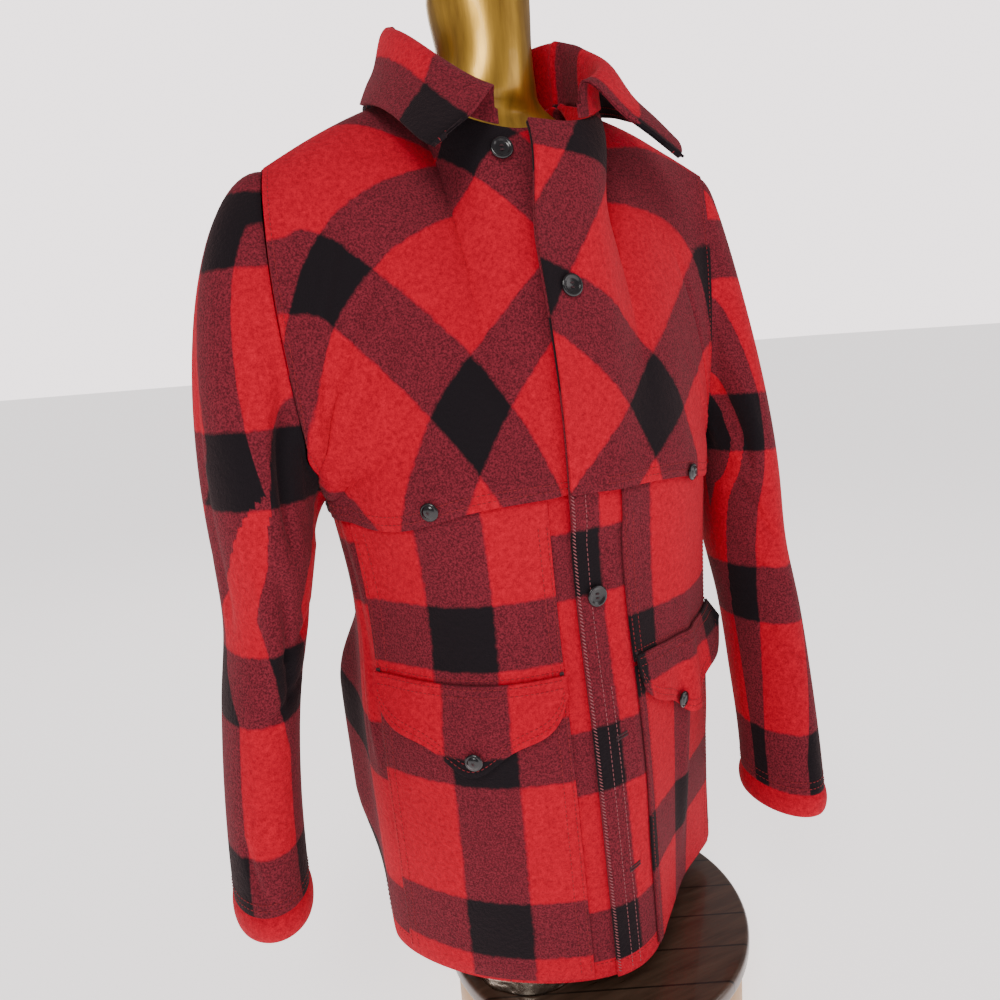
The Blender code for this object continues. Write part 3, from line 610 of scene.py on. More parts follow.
# creases on the body: side, face, across and up at both ends, half width in metres, height (troughs are negative)
BODY_CREASES = (
    (-1, "front", 0.98, 1.04, 0.55, 1.30, 0.010, 0.0030),
    (-1, "front", 0.99, 1.12, 0.62, 1.48, 0.010, -0.0035),
    (-1, "front", 0.99, 1.20, 0.74, 1.62, 0.011, 0.0034),
    (-1, "front", 0.99, 1.00, 0.66, 1.12, 0.009, -0.0030),
    (-1, "front", 0.97, 0.93, 0.93, 0.45, 0.012, 0.0040),
    (-1, "front", 0.36, 1.22, 0.12, 1.06, 0.012, 0.0020),
    (1, "front", 0.98, 1.06, 0.60, 1.26, 0.010, 0.0028),
    (1, "front", 0.99, 1.16, 0.66, 1.48, 0.011, -0.0030),
    (1, "front", 0.97, 0.95, 0.90, 0.30, 0.012, 0.0040),
    (1, "front", 0.08, 0.86, 0.12, 0.30, 0.010, 0.0020),
    (-1, "back", 0.98, 1.06, 0.50, 1.30, 0.012, 0.0030),
    (-1, "back", 0.98, 1.20, 0.60, 1.56, 0.012, -0.0030),
    (1, "back", 0.98, 1.05, 0.46, 1.24, 0.012, 0.0030),
    (1, "back", 0.98, 1.18, 0.62, 1.52, 0.012, -0.0030),
    (-1, "back", 0.28, 1.02, 0.34, 0.20, 0.020, 0.0040),
    (1, "back", 0.38, 1.00, 0.30, 0.15, 0.020, 0.0040),
    (1, "back", 0.80, 0.90, 0.72, 0.10, 0.018, 0.0035),
)

# creases on the sleeves: side, turn and row at both ends, half width in metres, height
SLEEVE_CREASES = (
    (-1, 0.185, 0.30, 0.180, 4.80, 0.010, -0.0070),
    (-1, 0.240, 0.60, 0.230, 4.20, 0.012, 0.0035),
    (-1, 0.120, 0.60, 0.120, 3.40, 0.010, 0.0030),
    (-1, 0.230, 5.40, 0.150, 8.60, 0.011, -0.0060),
    (-1, 0.300, 5.20, 0.230, 8.40, 0.012, 0.0030),
    (-1, 0.050, 6.60, 0.200, 7.60, 0.011, -0.0045),
    (-1, 0.060, 8.20, 0.260, 9.00, 0.010, -0.0030),
    (-1, 0.470, 3.00, 0.420, 6.60, 0.013, -0.0050),
    (-1, 0.620, 5.60, 0.780, 8.00, 0.014, -0.0050),
    (-1, 0.900, 5.20, 0.780, 7.20, 0.012, -0.0045),
    (-1, 0.700, 1.20, 0.820, 4.60, 0.012, -0.0045),
    (-1, 0.360, 12.0, 0.300, 13.6, 0.010, -0.0025),
    (1, 0.165, 0.40, 0.170, 4.40, 0.010, -0.0065),
    (1, 0.235, 0.80, 0.230, 4.00, 0.012, 0.0030),
    (1, 0.100, 4.80, 0.240, 6.60, 0.012, -0.0045),
    (1, 0.060, 7.00, 0.260, 8.00, 0.012, -0.0045),
    (1, 0.100, 9.20, 0.280, 10.2, 0.011, -0.0030),
    (1, 0.450, 3.40, 0.400, 7.00, 0.013, -0.0045),
    (1, 0.660, 5.60, 0.800, 8.00, 0.014, -0.0050),
    (1, 0.900, 5.00, 0.780, 7.00, 0.012, -0.0045),
    (1, 0.700, 1.40, 0.800, 4.40, 0.012, -0.0045),
)

# topstitching
STITCH = 0.0030
STITCH_STEP = 0.0044
THREAD = 0.00042
EDGE_STITCH = 0.0085


def crease_height(creases, key, p, q, p_scale, q_scale):
    """The sum of the creases at a place, each a soft ridge or trough along a line between its ends."""
    height = np.zeros_like(p)
    for crease in creases:
        if crease[:len(key)] != key:
            continue
        p0, q0, p1, q1, width, depth = crease[len(key):]
        along = np.array([(p1 - p0) * p_scale, (q1 - q0) * q_scale])
        length = np.linalg.norm(along)
        x, y = (p - p0) * p_scale, (q - q0) * q_scale
        t = (x * along[0] + y * along[1]) / length ** 2
        off = (x * along[1] - y * along[0]) / length
        ends = smooth((t + 0.15) / 0.35) * smooth((1.15 - t) / 0.35)
        height = height + depth * bump(off / width) * ends
    return height


def metres(side, face, across, up):
    """Cloth lengths from the centre line and up from the floor, along the panel's own rows and columns."""
    columns_at, rows_at, points = panel(side, face)[:3]
    steps = np.linalg.norm(np.diff(points, axis=1), axis=2)
    along = np.concatenate([np.zeros((len(rows_at), 1)), np.cumsum(steps, 1)], 1)
    start = np.array([np.interp(0.0, columns_at, row) for row in along])
    along = along - start[:, None]
    rises = np.linalg.norm(np.diff(points, axis=0), axis=2)
    rises = np.concatenate([np.zeros((1, len(columns_at))), np.cumsum(rises, 0)], 0)
    under = np.array([np.interp(1.0, rows_at, rises[:, k]) for k in range(len(columns_at))])
    climb = np.where(rows_at[:, None] <= 1, HEM + rows_at[:, None] * (UNDERARM - HEM),
                     UNDERARM + rises - under)
    across, up = np.broadcast_arrays(np.asarray(across, float), np.asarray(up, float))
    c = np.clip(np.searchsorted(columns_at, across, "right") - 1, 0, len(columns_at) - 2)
    r = np.clip(np.searchsorted(rows_at, up, "right") - 1, 0, len(rows_at) - 2)
    s = (across - columns_at[c]) / (columns_at[c + 1] - columns_at[c])
    t = (up - rows_at[r]) / (rows_at[r + 1] - rows_at[r])
    return [(grid[r, c] * (1 - s) + grid[r, c + 1] * s) * (1 - t)
            + (grid[r + 1, c] * (1 - s) + grid[r + 1, c + 1] * s) * t for grid in (along, climb)]


def straight_check(name, side, face, across, up):
    width = metres(side, face, 0.99, 0.5)[0] / 0.99
    middle, height, before, after = SQUARES[name]
    slope = np.where(across < middle, before or width / REPEAT, after or width / REPEAT)
    climb = metres(side, face, across, up)[1]
    return np.stack([(across - middle) * slope, (climb - height) / REPEAT], -1)


def red_hem(check, up):
    """The turned edge of the hem shows plain red."""
    return np.where((up < RED_EDGE)[..., None], np.floor(check) + 0.5, check)


def curved_terms(along, climb):
    """The terms of a gently curved map of the cloth."""
    climb = climb - UNDERARM
    return np.stack([np.ones_like(along), along, climb, along * climb, along ** 2, climb ** 2], -1)


def bias_check(side, across, up):
    squares = np.array(YOKE_SQUARES[side], float)
    places = curved_terms(*metres(side, "front", squares[:, 0], squares[:, 1]))
    calm = np.diag([0.0, 0.0, 0.0, CALM, CALM, CALM])
    turn = np.linalg.solve(places.T @ places + calm, places.T @ squares[:, 2:])
    return curved_terms(*metres(side, "front", across, up)) @ turn


def sleeve_check(side, turn, row, height):
    """The check round and down a sleeve. Where two stripes lie close, the red between them is folded away."""
    half = STRIPE_TURN[side]
    number = np.zeros_like(turn)
    for k in range(len(turn)):
        knots, numbers = [], []
        for value, rows, turns in SLEEVE_STRIPES[side]:
            middle = float(np.interp(row[k, 0], rows, turns))
            knots += [middle - half, middle + half]
            numbers += [value - BAND, value + BAND]
        knots = np.maximum.accumulate(np.array(knots) + np.arange(len(knots)) * 1e-5)
        number[k] = np.interp(turn[k], knots, numbers)
        number[k] += np.maximum(turn[k] - knots[-1], 0) * 2.0 + np.minimum(turn[k] - knots[0], 0) * 2.0
    bands = SLEEVE_BANDS[side]
    past = np.minimum(height - bands[0], 0) + np.maximum(height - bands[-1], 0)
    return np.stack([number, np.interp(height, bands, range(len(bands))) + past / REPEAT], -1)


CALM = 2e-6
RED_EDGE = 0.030


def grid_mesh(name, points, check, wrap=False, outward=1):
    """A mesh from rows of points with the check's numbers as its UV map."""
    rows, across = points.shape[:2]
    wide = across if wrap else across - 1
    r, c = np.meshgrid(np.arange(rows - 1), np.arange(wide), indexing="ij")
    d = (c + 1) % across
    corners = np.stack([r * across + c, r * across + d, (r + 1) * across + d, (r + 1) * across + c], -1)
    if check is None:
        check = np.full((rows, across, 2), 0.5)
    if check.shape[1] == across:
        check = np.concatenate([check, check[:, :1]], 1)
    spots = np.stack([check[r, c], check[r, c + 1], check[r + 1, c + 1], check[r + 1, c]], -2)
    corners, spots = corners.reshape(-1, 4), spots.reshape(-1, 4, 2)
    if outward < 0:
        corners, spots = corners[:, ::-1], spots[:, ::-1]
    mesh = bpy.data.meshes.new(name)
    mesh.from_pydata(points.reshape(-1, 3).tolist(), [], corners.tolist())
    layer = mesh.uv_layers.new(name="check")
    layer.data.foreach_set("uv", spots.ravel())
    mesh.shade_smooth()
    return mesh


def add_object(name, mesh, material):
    """A new object in the scene with one material."""
    thing = bpy.data.objects.new(name, mesh)
    bpy.context.scene.collection.objects.link(thing)
    thing.data.materials.append(material)
    return thing


def cloth(name, points, check, wrap=False, outward=1, node=None, wool="wool"):
    """A sewn piece of cloth with rounded edges. It replaces its node."""
    node = node or name
    thing = add_object("cloth_" + name, grid_mesh(name, points, check, wrap, outward), MATERIALS[wool])
    solidify = thing.modifiers.new("wall", "SOLIDIFY")
    solidify.thickness = WALL
    solidify.offset = 1.0
    solidify.use_rim = True
    bevel = thing.modifiers.new("edge", "BEVEL")
    bevel.width = EDGE_ROUND
    bevel.segments = 2
    bevel.limit_method = "ANGLE"
    bevel.angle_limit = math.radians(60)
    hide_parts(node)
    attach(thing, "root")
    return thing


EDGE_ROUND = 0.0009
MATERIALS = {}


def node_of(tree, kind, links=(), **values):
    """A shader node with its settings and incoming links."""
    made = tree.nodes.new(kind)
    for key, value in values.items():
        if key.startswith("in_"):
            slot = key[3:]
            made.inputs[int(slot) if slot.isdigit() else slot.replace("_", " ")].default_value = value
        else:
            setattr(made, key, value)
    for socket, source in links:
        tree.links.new(source, made.inputs[socket])
    return made


def maths(tree, operation, first, second=None, third=None):
    """A Math node on sockets or numbers."""
    made = tree.nodes.new("ShaderNodeMath")
    made.operation = operation
    for index, value in enumerate((first, second, third)):
        if value is None:
            continue
        if isinstance(value, (int, float)):
            made.inputs[index].default_value = value
        else:
            tree.links.new(value, made.inputs[index])
    return made.outputs[0]


def noise(tree, place, scale, detail=2.0, roughness=0.5):
    """A noise value on a set of coordinates."""
    made = node_of(tree, "ShaderNodeTexNoise", [("Vector", place)], in_Scale=scale, in_Detail=detail,
                   in_Roughness=roughness)
    return made.outputs["Fac"]


def mixed(tree, factor, first, second):
    """A colour between two colours or sockets."""
    made = tree.nodes.new("ShaderNodeMix")
    made.data_type = "RGBA"
    for socket, value in ((0, factor), (6, first), (7, second)):
        if isinstance(value, (int, float)):
            made.inputs[socket].default_value = value
        elif isinstance(value, tuple):
            made.inputs[socket].default_value = (*value, 1.0)
        else:
            tree.links.new(value, made.inputs[socket])
    return made.outputs[2]


def blank(name):
    """A material with its tree, shader and object coordinates."""
    material = bpy.data.materials.new(name)
    material.use_nodes = True
    tree = material.node_tree
    shader = tree.nodes["Principled BSDF"]
    place = tree.nodes.new("ShaderNodeTexCoord").outputs["Object"]
    return material, tree, shader, place


RED = (0.66, 0.004, 0.028)
RED_DEEP = (0.30, 0.002, 0.012)
MAROON = (0.070, 0.008, 0.013)
MAROON_LIGHT = (0.215, 0.020, 0.034)
BLACK = (0.009, 0.007, 0.009)


def band(tree, number, wobble):
    """1 inside a band of the check and 0 outside, with a slightly uneven edge."""
    off = maths(tree, "ABSOLUTE", maths(tree, "SUBTRACT", maths(tree, "FRACT", maths(tree, "ADD", number, 0.5)), 0.5))
    off = maths(tree, "ADD", off, wobble)
    edge = maths(tree, "DIVIDE", maths(tree, "SUBTRACT", BAND, off), 0.016)
    return maths(tree, "MINIMUM", maths(tree, "MAXIMUM", maths(tree, "ADD", edge, 0.5), 0.0), 1.0)


def wool(name, checked=True, dark=False):
    """Napped wool: the check in red, a heather of red and black, and black, under a fine fuzz."""
    material, tree, shader, place = blank(name)
    fuzz = noise(tree, place, 900.0, 3.0, 0.7)
    tuft = noise(tree, place, 260.0, 3.0, 0.6)
    cloud = noise(tree, place, 14.0, 2.0, 0.5)
    red = mixed(tree, maths(tree, "MULTIPLY_ADD", maths(tree, "ADD", tuft, fuzz), 1.5, -1.05), RED_DEEP, RED)
    red = mixed(tree, maths(tree, "MULTIPLY", cloud, 0.22), red, RED_DEEP)
    speckle = maths(tree, "MULTIPLY_ADD", noise(tree, place, 620.0, 2.0, 0.6), 3.2, -1.15)
    heather = mixed(tree, maths(tree, "MINIMUM", maths(tree, "MAXIMUM", speckle, 0.0), 1.0), MAROON, MAROON_LIGHT)
    if checked:
        numbers = tree.nodes.new("ShaderNodeSeparateXYZ")
        tree.links.new(node_of(tree, "ShaderNodeUVMap", uv_map="check").outputs[0], numbers.inputs[0])
        wobble = maths(tree, "MULTIPLY_ADD", noise(tree, place, 120.0, 3.0, 0.7), 0.030, -0.015)
        first = band(tree, numbers.outputs[0], wobble)
        second = band(tree, numbers.outputs[1], wobble)
        either = maths(tree, "MAXIMUM", first, second)
        both = maths(tree, "MULTIPLY", first, second)
        colour = mixed(tree, both, mixed(tree, either, red, heather), BLACK)
    else:
        colour = (mixed(tree, 0.0, BLACK, BLACK) if dark else red)
    tree.links.new(colour, shader.inputs["Base Color"])
    shader.inputs["Roughness"].default_value = 0.92
    shader.inputs["Specular IOR Level"].default_value = 0.10
    shader.inputs["Sheen Weight"].default_value = 0.07
    shader.inputs["Sheen Roughness"].default_value = 0.45
    shader.inputs["Sheen Tint"].default_value = (1.0, 0.55, 0.55, 1.0)
    lumps = maths(tree, "ADD", maths(tree, "MULTIPLY", fuzz, 0.4), maths(tree, "MULTIPLY", tuft, 0.8))
    relief = node_of(tree, "ShaderNodeBump", [("Height", lumps)], in_Strength=0.80, in_Distance=0.0016)
    tree.links.new(relief.outputs[0], shader.inputs["Normal"])
    MATERIALS[name] = material


def simple(name, colour, second, scale, roughness, metallic=0.0, bump_depth=0.0, stretch=(1, 1, 1), coat=0.0):
    """A finish of two colours mixed by a stretched noise, with matching relief."""
    material, tree, shader, place = blank(name)
    mapping = node_of(tree, "ShaderNodeMapping", [("Vector", place)], in_Scale=stretch)
    grain = noise(tree, mapping.outputs[0], scale, 5.0, 0.6)
    tree.links.new(mixed(tree, maths(tree, "MULTIPLY_ADD", grain, 2.2, -0.6), colour, second),
                   shader.inputs["Base Color"])
    tree.links.new(maths(tree, "MULTIPLY_ADD", grain, 0.25, roughness - 0.12), shader.inputs["Roughness"])
    shader.inputs["Metallic"].default_value = metallic
    shader.inputs["Coat Weight"].default_value = coat
    if bump_depth:
        relief = node_of(tree, "ShaderNodeBump", [("Height", grain)], in_Strength=0.5, in_Distance=bump_depth)
        tree.links.new(relief.outputs[0], shader.inputs["Normal"])
    MATERIALS[name] = material
    return material, tree, shader, place


def planks():
    """Dark varnished planks: the joints between them, narrow grooves, are drawn as dark lines."""
    material, tree, shader, place = simple("planks", (0.040, 0.022, 0.014), (0.095, 0.055, 0.036), 9.0, 0.32,
                                           bump_depth=0.0006, stretch=(1.5, 14, 1), coat=0.25)
    turn = node_of(tree, "ShaderNodeMapping", [("Vector", place)], in_Rotation=(0, 0, PLANK_TURN))
    parts = tree.nodes.new("ShaderNodeSeparateXYZ")
    tree.links.new(turn.outputs[0], parts.inputs[0])
    cell = maths(tree, "FRACT", maths(tree, "DIVIDE", parts.outputs[1], PLANK_WIDTH))
    joint = maths(tree, "LESS_THAN", maths(tree, "ABSOLUTE", maths(tree, "SUBTRACT", cell, 0.5)), 0.022)
    source = shader.inputs["Base Color"].links[0].from_socket
    tree.links.new(mixed(tree, maths(tree, "MULTIPLY", joint, 0.85), source, (0.006, 0.004, 0.003)),
                   shader.inputs["Base Color"])


PLANK_WIDTH = 0.044
PLANK_TURN = math.radians(22)


def make_materials():
    """Every finish."""
    wool("wool")
    wool("red_wool", checked=False)
    wool("black_wool", checked=False, dark=True)
    simple("button_black", (0.004, 0.004, 0.005), (0.008, 0.007, 0.008), 90.0, 0.20, coat=0.1)
    simple("thread_dark", (0.020, 0.010, 0.012), (0.05, 0.012, 0.018), 700.0, 0.8)
    simple("thread_red", (0.34, 0.006, 0.014), (0.12, 0.004, 0.008), 700.0, 0.8)
    simple("thread_pale", (0.34, 0.10, 0.11), (0.20, 0.05, 0.06), 700.0, 0.8)
    simple("gold", (0.62, 0.36, 0.045), (0.24, 0.13, 0.018), 14.0, 0.36, metallic=0.75, bump_depth=0.0006,
           stretch=(5, 5, 0.6), coat=0.2)
    simple("foil", (0.62, 0.55, 0.46), (0.22, 0.17, 0.13), 60.0, 0.26, metallic=1.0, bump_depth=0.003)
    simple("tan_wood", (0.42, 0.23, 0.10), (0.62, 0.38, 0.18), 7.0, 0.5, bump_depth=0.0005, stretch=(3, 3, 0.5))
    planks()


def tube(points, radius, sides, faces, verts):
    """Append a thin rounded thread along a few points."""
    points = np.asarray(points, float)
    ahead = np.gradient(points, axis=0)
    ahead /= np.linalg.norm(ahead, axis=1, keepdims=True)
    side = np.cross(ahead, (0.3, 0.5, 0.81))
    side /= np.linalg.norm(side, axis=1, keepdims=True)
    other = np.cross(ahead, side)
    start = len(verts)
    swell = np.sin(np.linspace(0.25, math.pi - 0.25, len(points))) ** 0.5
    for point, a, b, size in zip(points, side, other, swell):
        for k in range(sides):
            angle = 2 * math.pi * k / sides
            verts.append(point + (a * math.cos(angle) + b * math.sin(angle)) * radius * size)
    for r in range(len(points) - 1):
        for k in range(sides):
            d = (k + 1) % sides
            faces.append((start + r * sides + k, start + r * sides + d,
                          start + (r + 1) * sides + d, start + (r + 1) * sides + k))
    faces.append(tuple(start + k for k in range(sides))[::-1])
    faces.append(tuple(start + (len(points) - 1) * sides + k for k in range(sides)))


def stitch_line(path, normals, faces, verts, lean=0.0, step=None, size=THREAD):
    """A row of stitches along a path lying on the cloth. Lean turns each stitch across the row."""
    step = step or STITCH_STEP
    path = np.asarray(path, float)
    reach = np.concatenate([[0], np.cumsum(np.linalg.norm(np.diff(path, axis=0), axis=1))])
    count = int(reach[-1] / step)
    for k in range(count):
        middle = (k + 0.5) * step
        spots = middle + np.array([-0.5, -0.25, 0.0, 0.25, 0.5]) * STITCH
        place = np.stack([np.interp(spots, reach, path[:, axis]) for axis in range(3)], -1)
        out = np.array([np.interp(middle, reach, normals[:, axis]) for axis in range(3)])
        out /= np.linalg.norm(out)
        if lean:
            ahead = (place[-1] - place[0]) / np.linalg.norm(place[-1] - place[0])
            place = place + np.cross(out, ahead) * np.linspace(-1, 1, 5)[:, None] * lean
        lift = np.array([-0.3, 0.35, 0.6, 0.35, -0.3])[:, None] * size
        tube(place + out * lift, size, 5, faces, verts)


def panel_path(side, face, across, up, lift, faces, verts, **how):
    """Stitches along a line on a panel."""
    across, up = np.broadcast_arrays(np.asarray(across, float), np.asarray(up, float))
    path = on_panel(side, face, across, up, lift)
    normals = on_panel(side, face, across, up, lift + 1.0) - path
    stitch_line(path, normals, faces, verts, **how)


def thread_piece(name, material, faces, verts):
    """The stitches gathered as one piece."""
    mesh = bpy.data.meshes.new(name)
    mesh.from_pydata([tuple(v) for v in verts], [], faces)
    mesh.shade_smooth()
    thing = add_object(name, mesh, MATERIALS[material])
    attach(thing, "root")


def make_body():
    """Fronts and back."""
    for side, name in ((-1, "front_right"), (1, "front_left")):
        across, up, points, _ = panel(side, "front")
        a, u = np.meshgrid(across, up)
        cloth(name, points, red_hem(straight_check(name, side, "front", a, u), u), outward=side)
    halves = []
    for side, name in ((1, "back_left"), (-1, "back_right")):
        across, up, points, _ = panel(side, "back")
        a, u = np.meshgrid(across, up)
        check = straight_check(name, side, "back", a, u)
        check[..., 0] = side * check[..., 0] + BACK_SHIFT
        halves.append((points, red_hem(check, u)))
    (left, left_check), (right, right_check) = halves
    points = whole_back(left, right)
    check = np.concatenate([left_check[:, :0:-1], right_check], 1)
    cloth("back", points, check)


def make_yoke():
    """The yoke's three pieces, the fronts on the bias as shown and the back likewise."""
    for side, name in ((-1, "yoke_front_right"), (1, "yoke_front_left")):
        a, u, points = yoke_points(side, "front")
        cloth(name, points, bias_check(side, a, u), outward=side)
    halves = []
    for side in (1, -1):
        a, u, points = yoke_points(side, "back")
        along, climb = metres(side, "back", a, u)
        along = -side * along
        check = np.stack([along + climb - UNDERARM, climb - UNDERARM - along], -1) / (REPEAT * math.sqrt(2))
        halves.append((points, check))
    points = whole_back(halves[0][0], halves[1][0])
    check = np.concatenate([halves[0][1][:, :0:-1], halves[1][1]], 1)
    cloth("yoke_back", points, check)


def make_sleeves():
    """Both sleeves with their creases, and the turned bands at their ends."""
    for side, word in ((-1, "right"), (1, "left")):
        points = sleeve_points(side)
        count = points.shape[1]
        rows = np.concatenate([np.linspace(0, CAD_CAP_ROWS, SLEEVE_CAP_ROWS + 1),
                               CAD_CAP_ROWS + np.linspace(0, CAD_SLEEVE_ROWS, SLEEVE_ROWS + 1)[1:]])
        turn, row = np.meshgrid(np.arange(count) / count, rows)
        closed = np.concatenate([points[:, -2:], points, points[:, :2]], 1)
        normals = grid_normals(closed, -side)[:, 2:-2]
        height = crease_height(SLEEVE_CREASES, (side,), turn, row, 0.32, 0.044)
        calm = smooth(row / 1.0) * smooth((14.0 - row) / 1.0)
        points = points + normals * (height * calm)[..., None]
        wide_turn = np.concatenate([turn, turn[:, :1] + 1.0], 1)
        wide_row = np.concatenate([row, row[:, :1]], 1)
        wide_height = np.concatenate([points[..., 2], points[:, :1, 2]], 1)
        cloth("sleeve_" + word, points, sleeve_check(side, wide_turn, wide_row, wide_height), wrap=True,
              outward=side)
        table = SLEEVE_RIGHT if side < 0 else SLEEVE_LEFT
        end = table[-1][0]
        tucked = sleeve_ring(table, end, count)
        tucked = tucked.mean(0) + (tucked - tucked.mean(0)) * CUFF_TUCK
        tucked[:, 2] = end + CUFF_TUCK_RISE
        rows = [tucked]
        for drop in np.linspace(0, 1, 9):
            ring_points = sleeve_ring(table, end, count)
            growth = 1.0 + (CUFF_GROWTH - 1.0) * math.sin(math.pi * drop) ** 0.7
            ring_points = ring_points.mean(0) + (ring_points - ring_points.mean(0)) * growth
            ring_points[:, 2] = end - SEAM - (CUFF_HEIGHT - SEAM) * drop
            rows.append(ring_points)
        cloth("cuff_" + word, np.array(rows), None, wrap=True, outward=side, wool="red_wool")


def make_collar():
    """The collar's standing part, roll and leaf."""
    share = np.linspace(0.0, 1.0, COLLAR_COLUMNS + 1)
    seam = neckline(share)
    out = (seam - np.array([0.0, NECK_SIDE[1], 0.0])) * (1, 1, 0)
    out /= np.linalg.norm(out, axis=1, keepdims=True)
    front = smooth((np.abs(share - 0.5) - 0.16) / 0.34)[:, None]
    stand = STAND_BACK + (STAND_FRONT - STAND_BACK) * front
    rise = np.array([0.0, 0.0, 1.0]) * stand
    point = np.where((share < 0.5)[:, None], POINT_RIGHT, POINT_LEFT)
    leaf = (out * LEAF_OUT - np.array([0.0, 0.0, LEAF_FALL])) * (1 - front ** 2) + point * front ** 2
    table = np.array(COLLAR)
    spots = np.linspace(0, len(table) - 1, COLLAR_ROWS)
    fine = [through(range(len(table)), table[:, k], spots) for k in range(3)]
    rows = np.array([seam + rise * up + out * ROLL_WIDTH * roll + leaf * fall for up, roll, fall in zip(*fine)])
    gap = np.linalg.norm(np.diff(rows, axis=0), axis=2)
    down = np.concatenate([np.zeros((1, rows.shape[1])), np.cumsum(gap, 0)], 0)
    to_edge = down[-1] - down
    along = np.concatenate([[0], np.cumsum(np.linalg.norm(np.diff(rows[-1], axis=0), axis=1))])
    check = np.stack([np.broadcast_to((along - COLLAR_SQUARE[0]) / REPEAT, to_edge.shape),
                      (to_edge - COLLAR_SQUARE[1]) / REPEAT], -1)
    cloth("collar", rows, check, outward=-1)
    return rows


COLLAR_SQUARE = (0.020, 0.016)
COLLAR_ROWS = 57
PATCH_SHAPES = (("chest_patch_", PATCH_SPLIT + 0.002, PATCH_TOP), ("lower_patch_", None, PATCH_SPLIT - 0.002))


def make_pockets():
    """Patches and flaps."""
    for side, word, (inner, outer) in zip((-1, 1), ("right", "left"), PATCH_EDGES):
        columns_at, rows_at = panel(side, "front")[:2]
        across = between(columns_at, inner, outer)
        for name, low, high in PATCH_SHAPES:
            a, u = np.meshgrid(across, between(rows_at, 0.012 if low is None else level(low), level(high)))
            cloth(name + word, on_panel(side, "front", a, u, LAYER),
                  straight_check(name + word, side, "front", a, u), outward=side)
        share = np.linspace(0, 1, FLAP_COLUMNS + 1)
        s, v = np.meshgrid(share, np.linspace(1, 0, FLAP_ROWS + 1))
        a = inner + (outer - inner) * s
        u = level(PATCH_SPLIT + FLAP_TOP) - v * flap_drop(s) / (UNDERARM - HEM)
        points = on_panel(side, "front", a, u, 2 * LAYER + flap_lift(side, s, v))
        cloth("flap_" + word, points, straight_check("flap_" + word, side, "front", a, u), outward=side)


def flap_lift(side, share, v):
    """How far a flap stands off the patches under it."""
    stand_off = FLAP_REST + FLAP_LOBE * np.sin(share * math.pi * 3) ** 2 + FLAP_STAND[side > 0] * share ** 2
    return stand_off * v


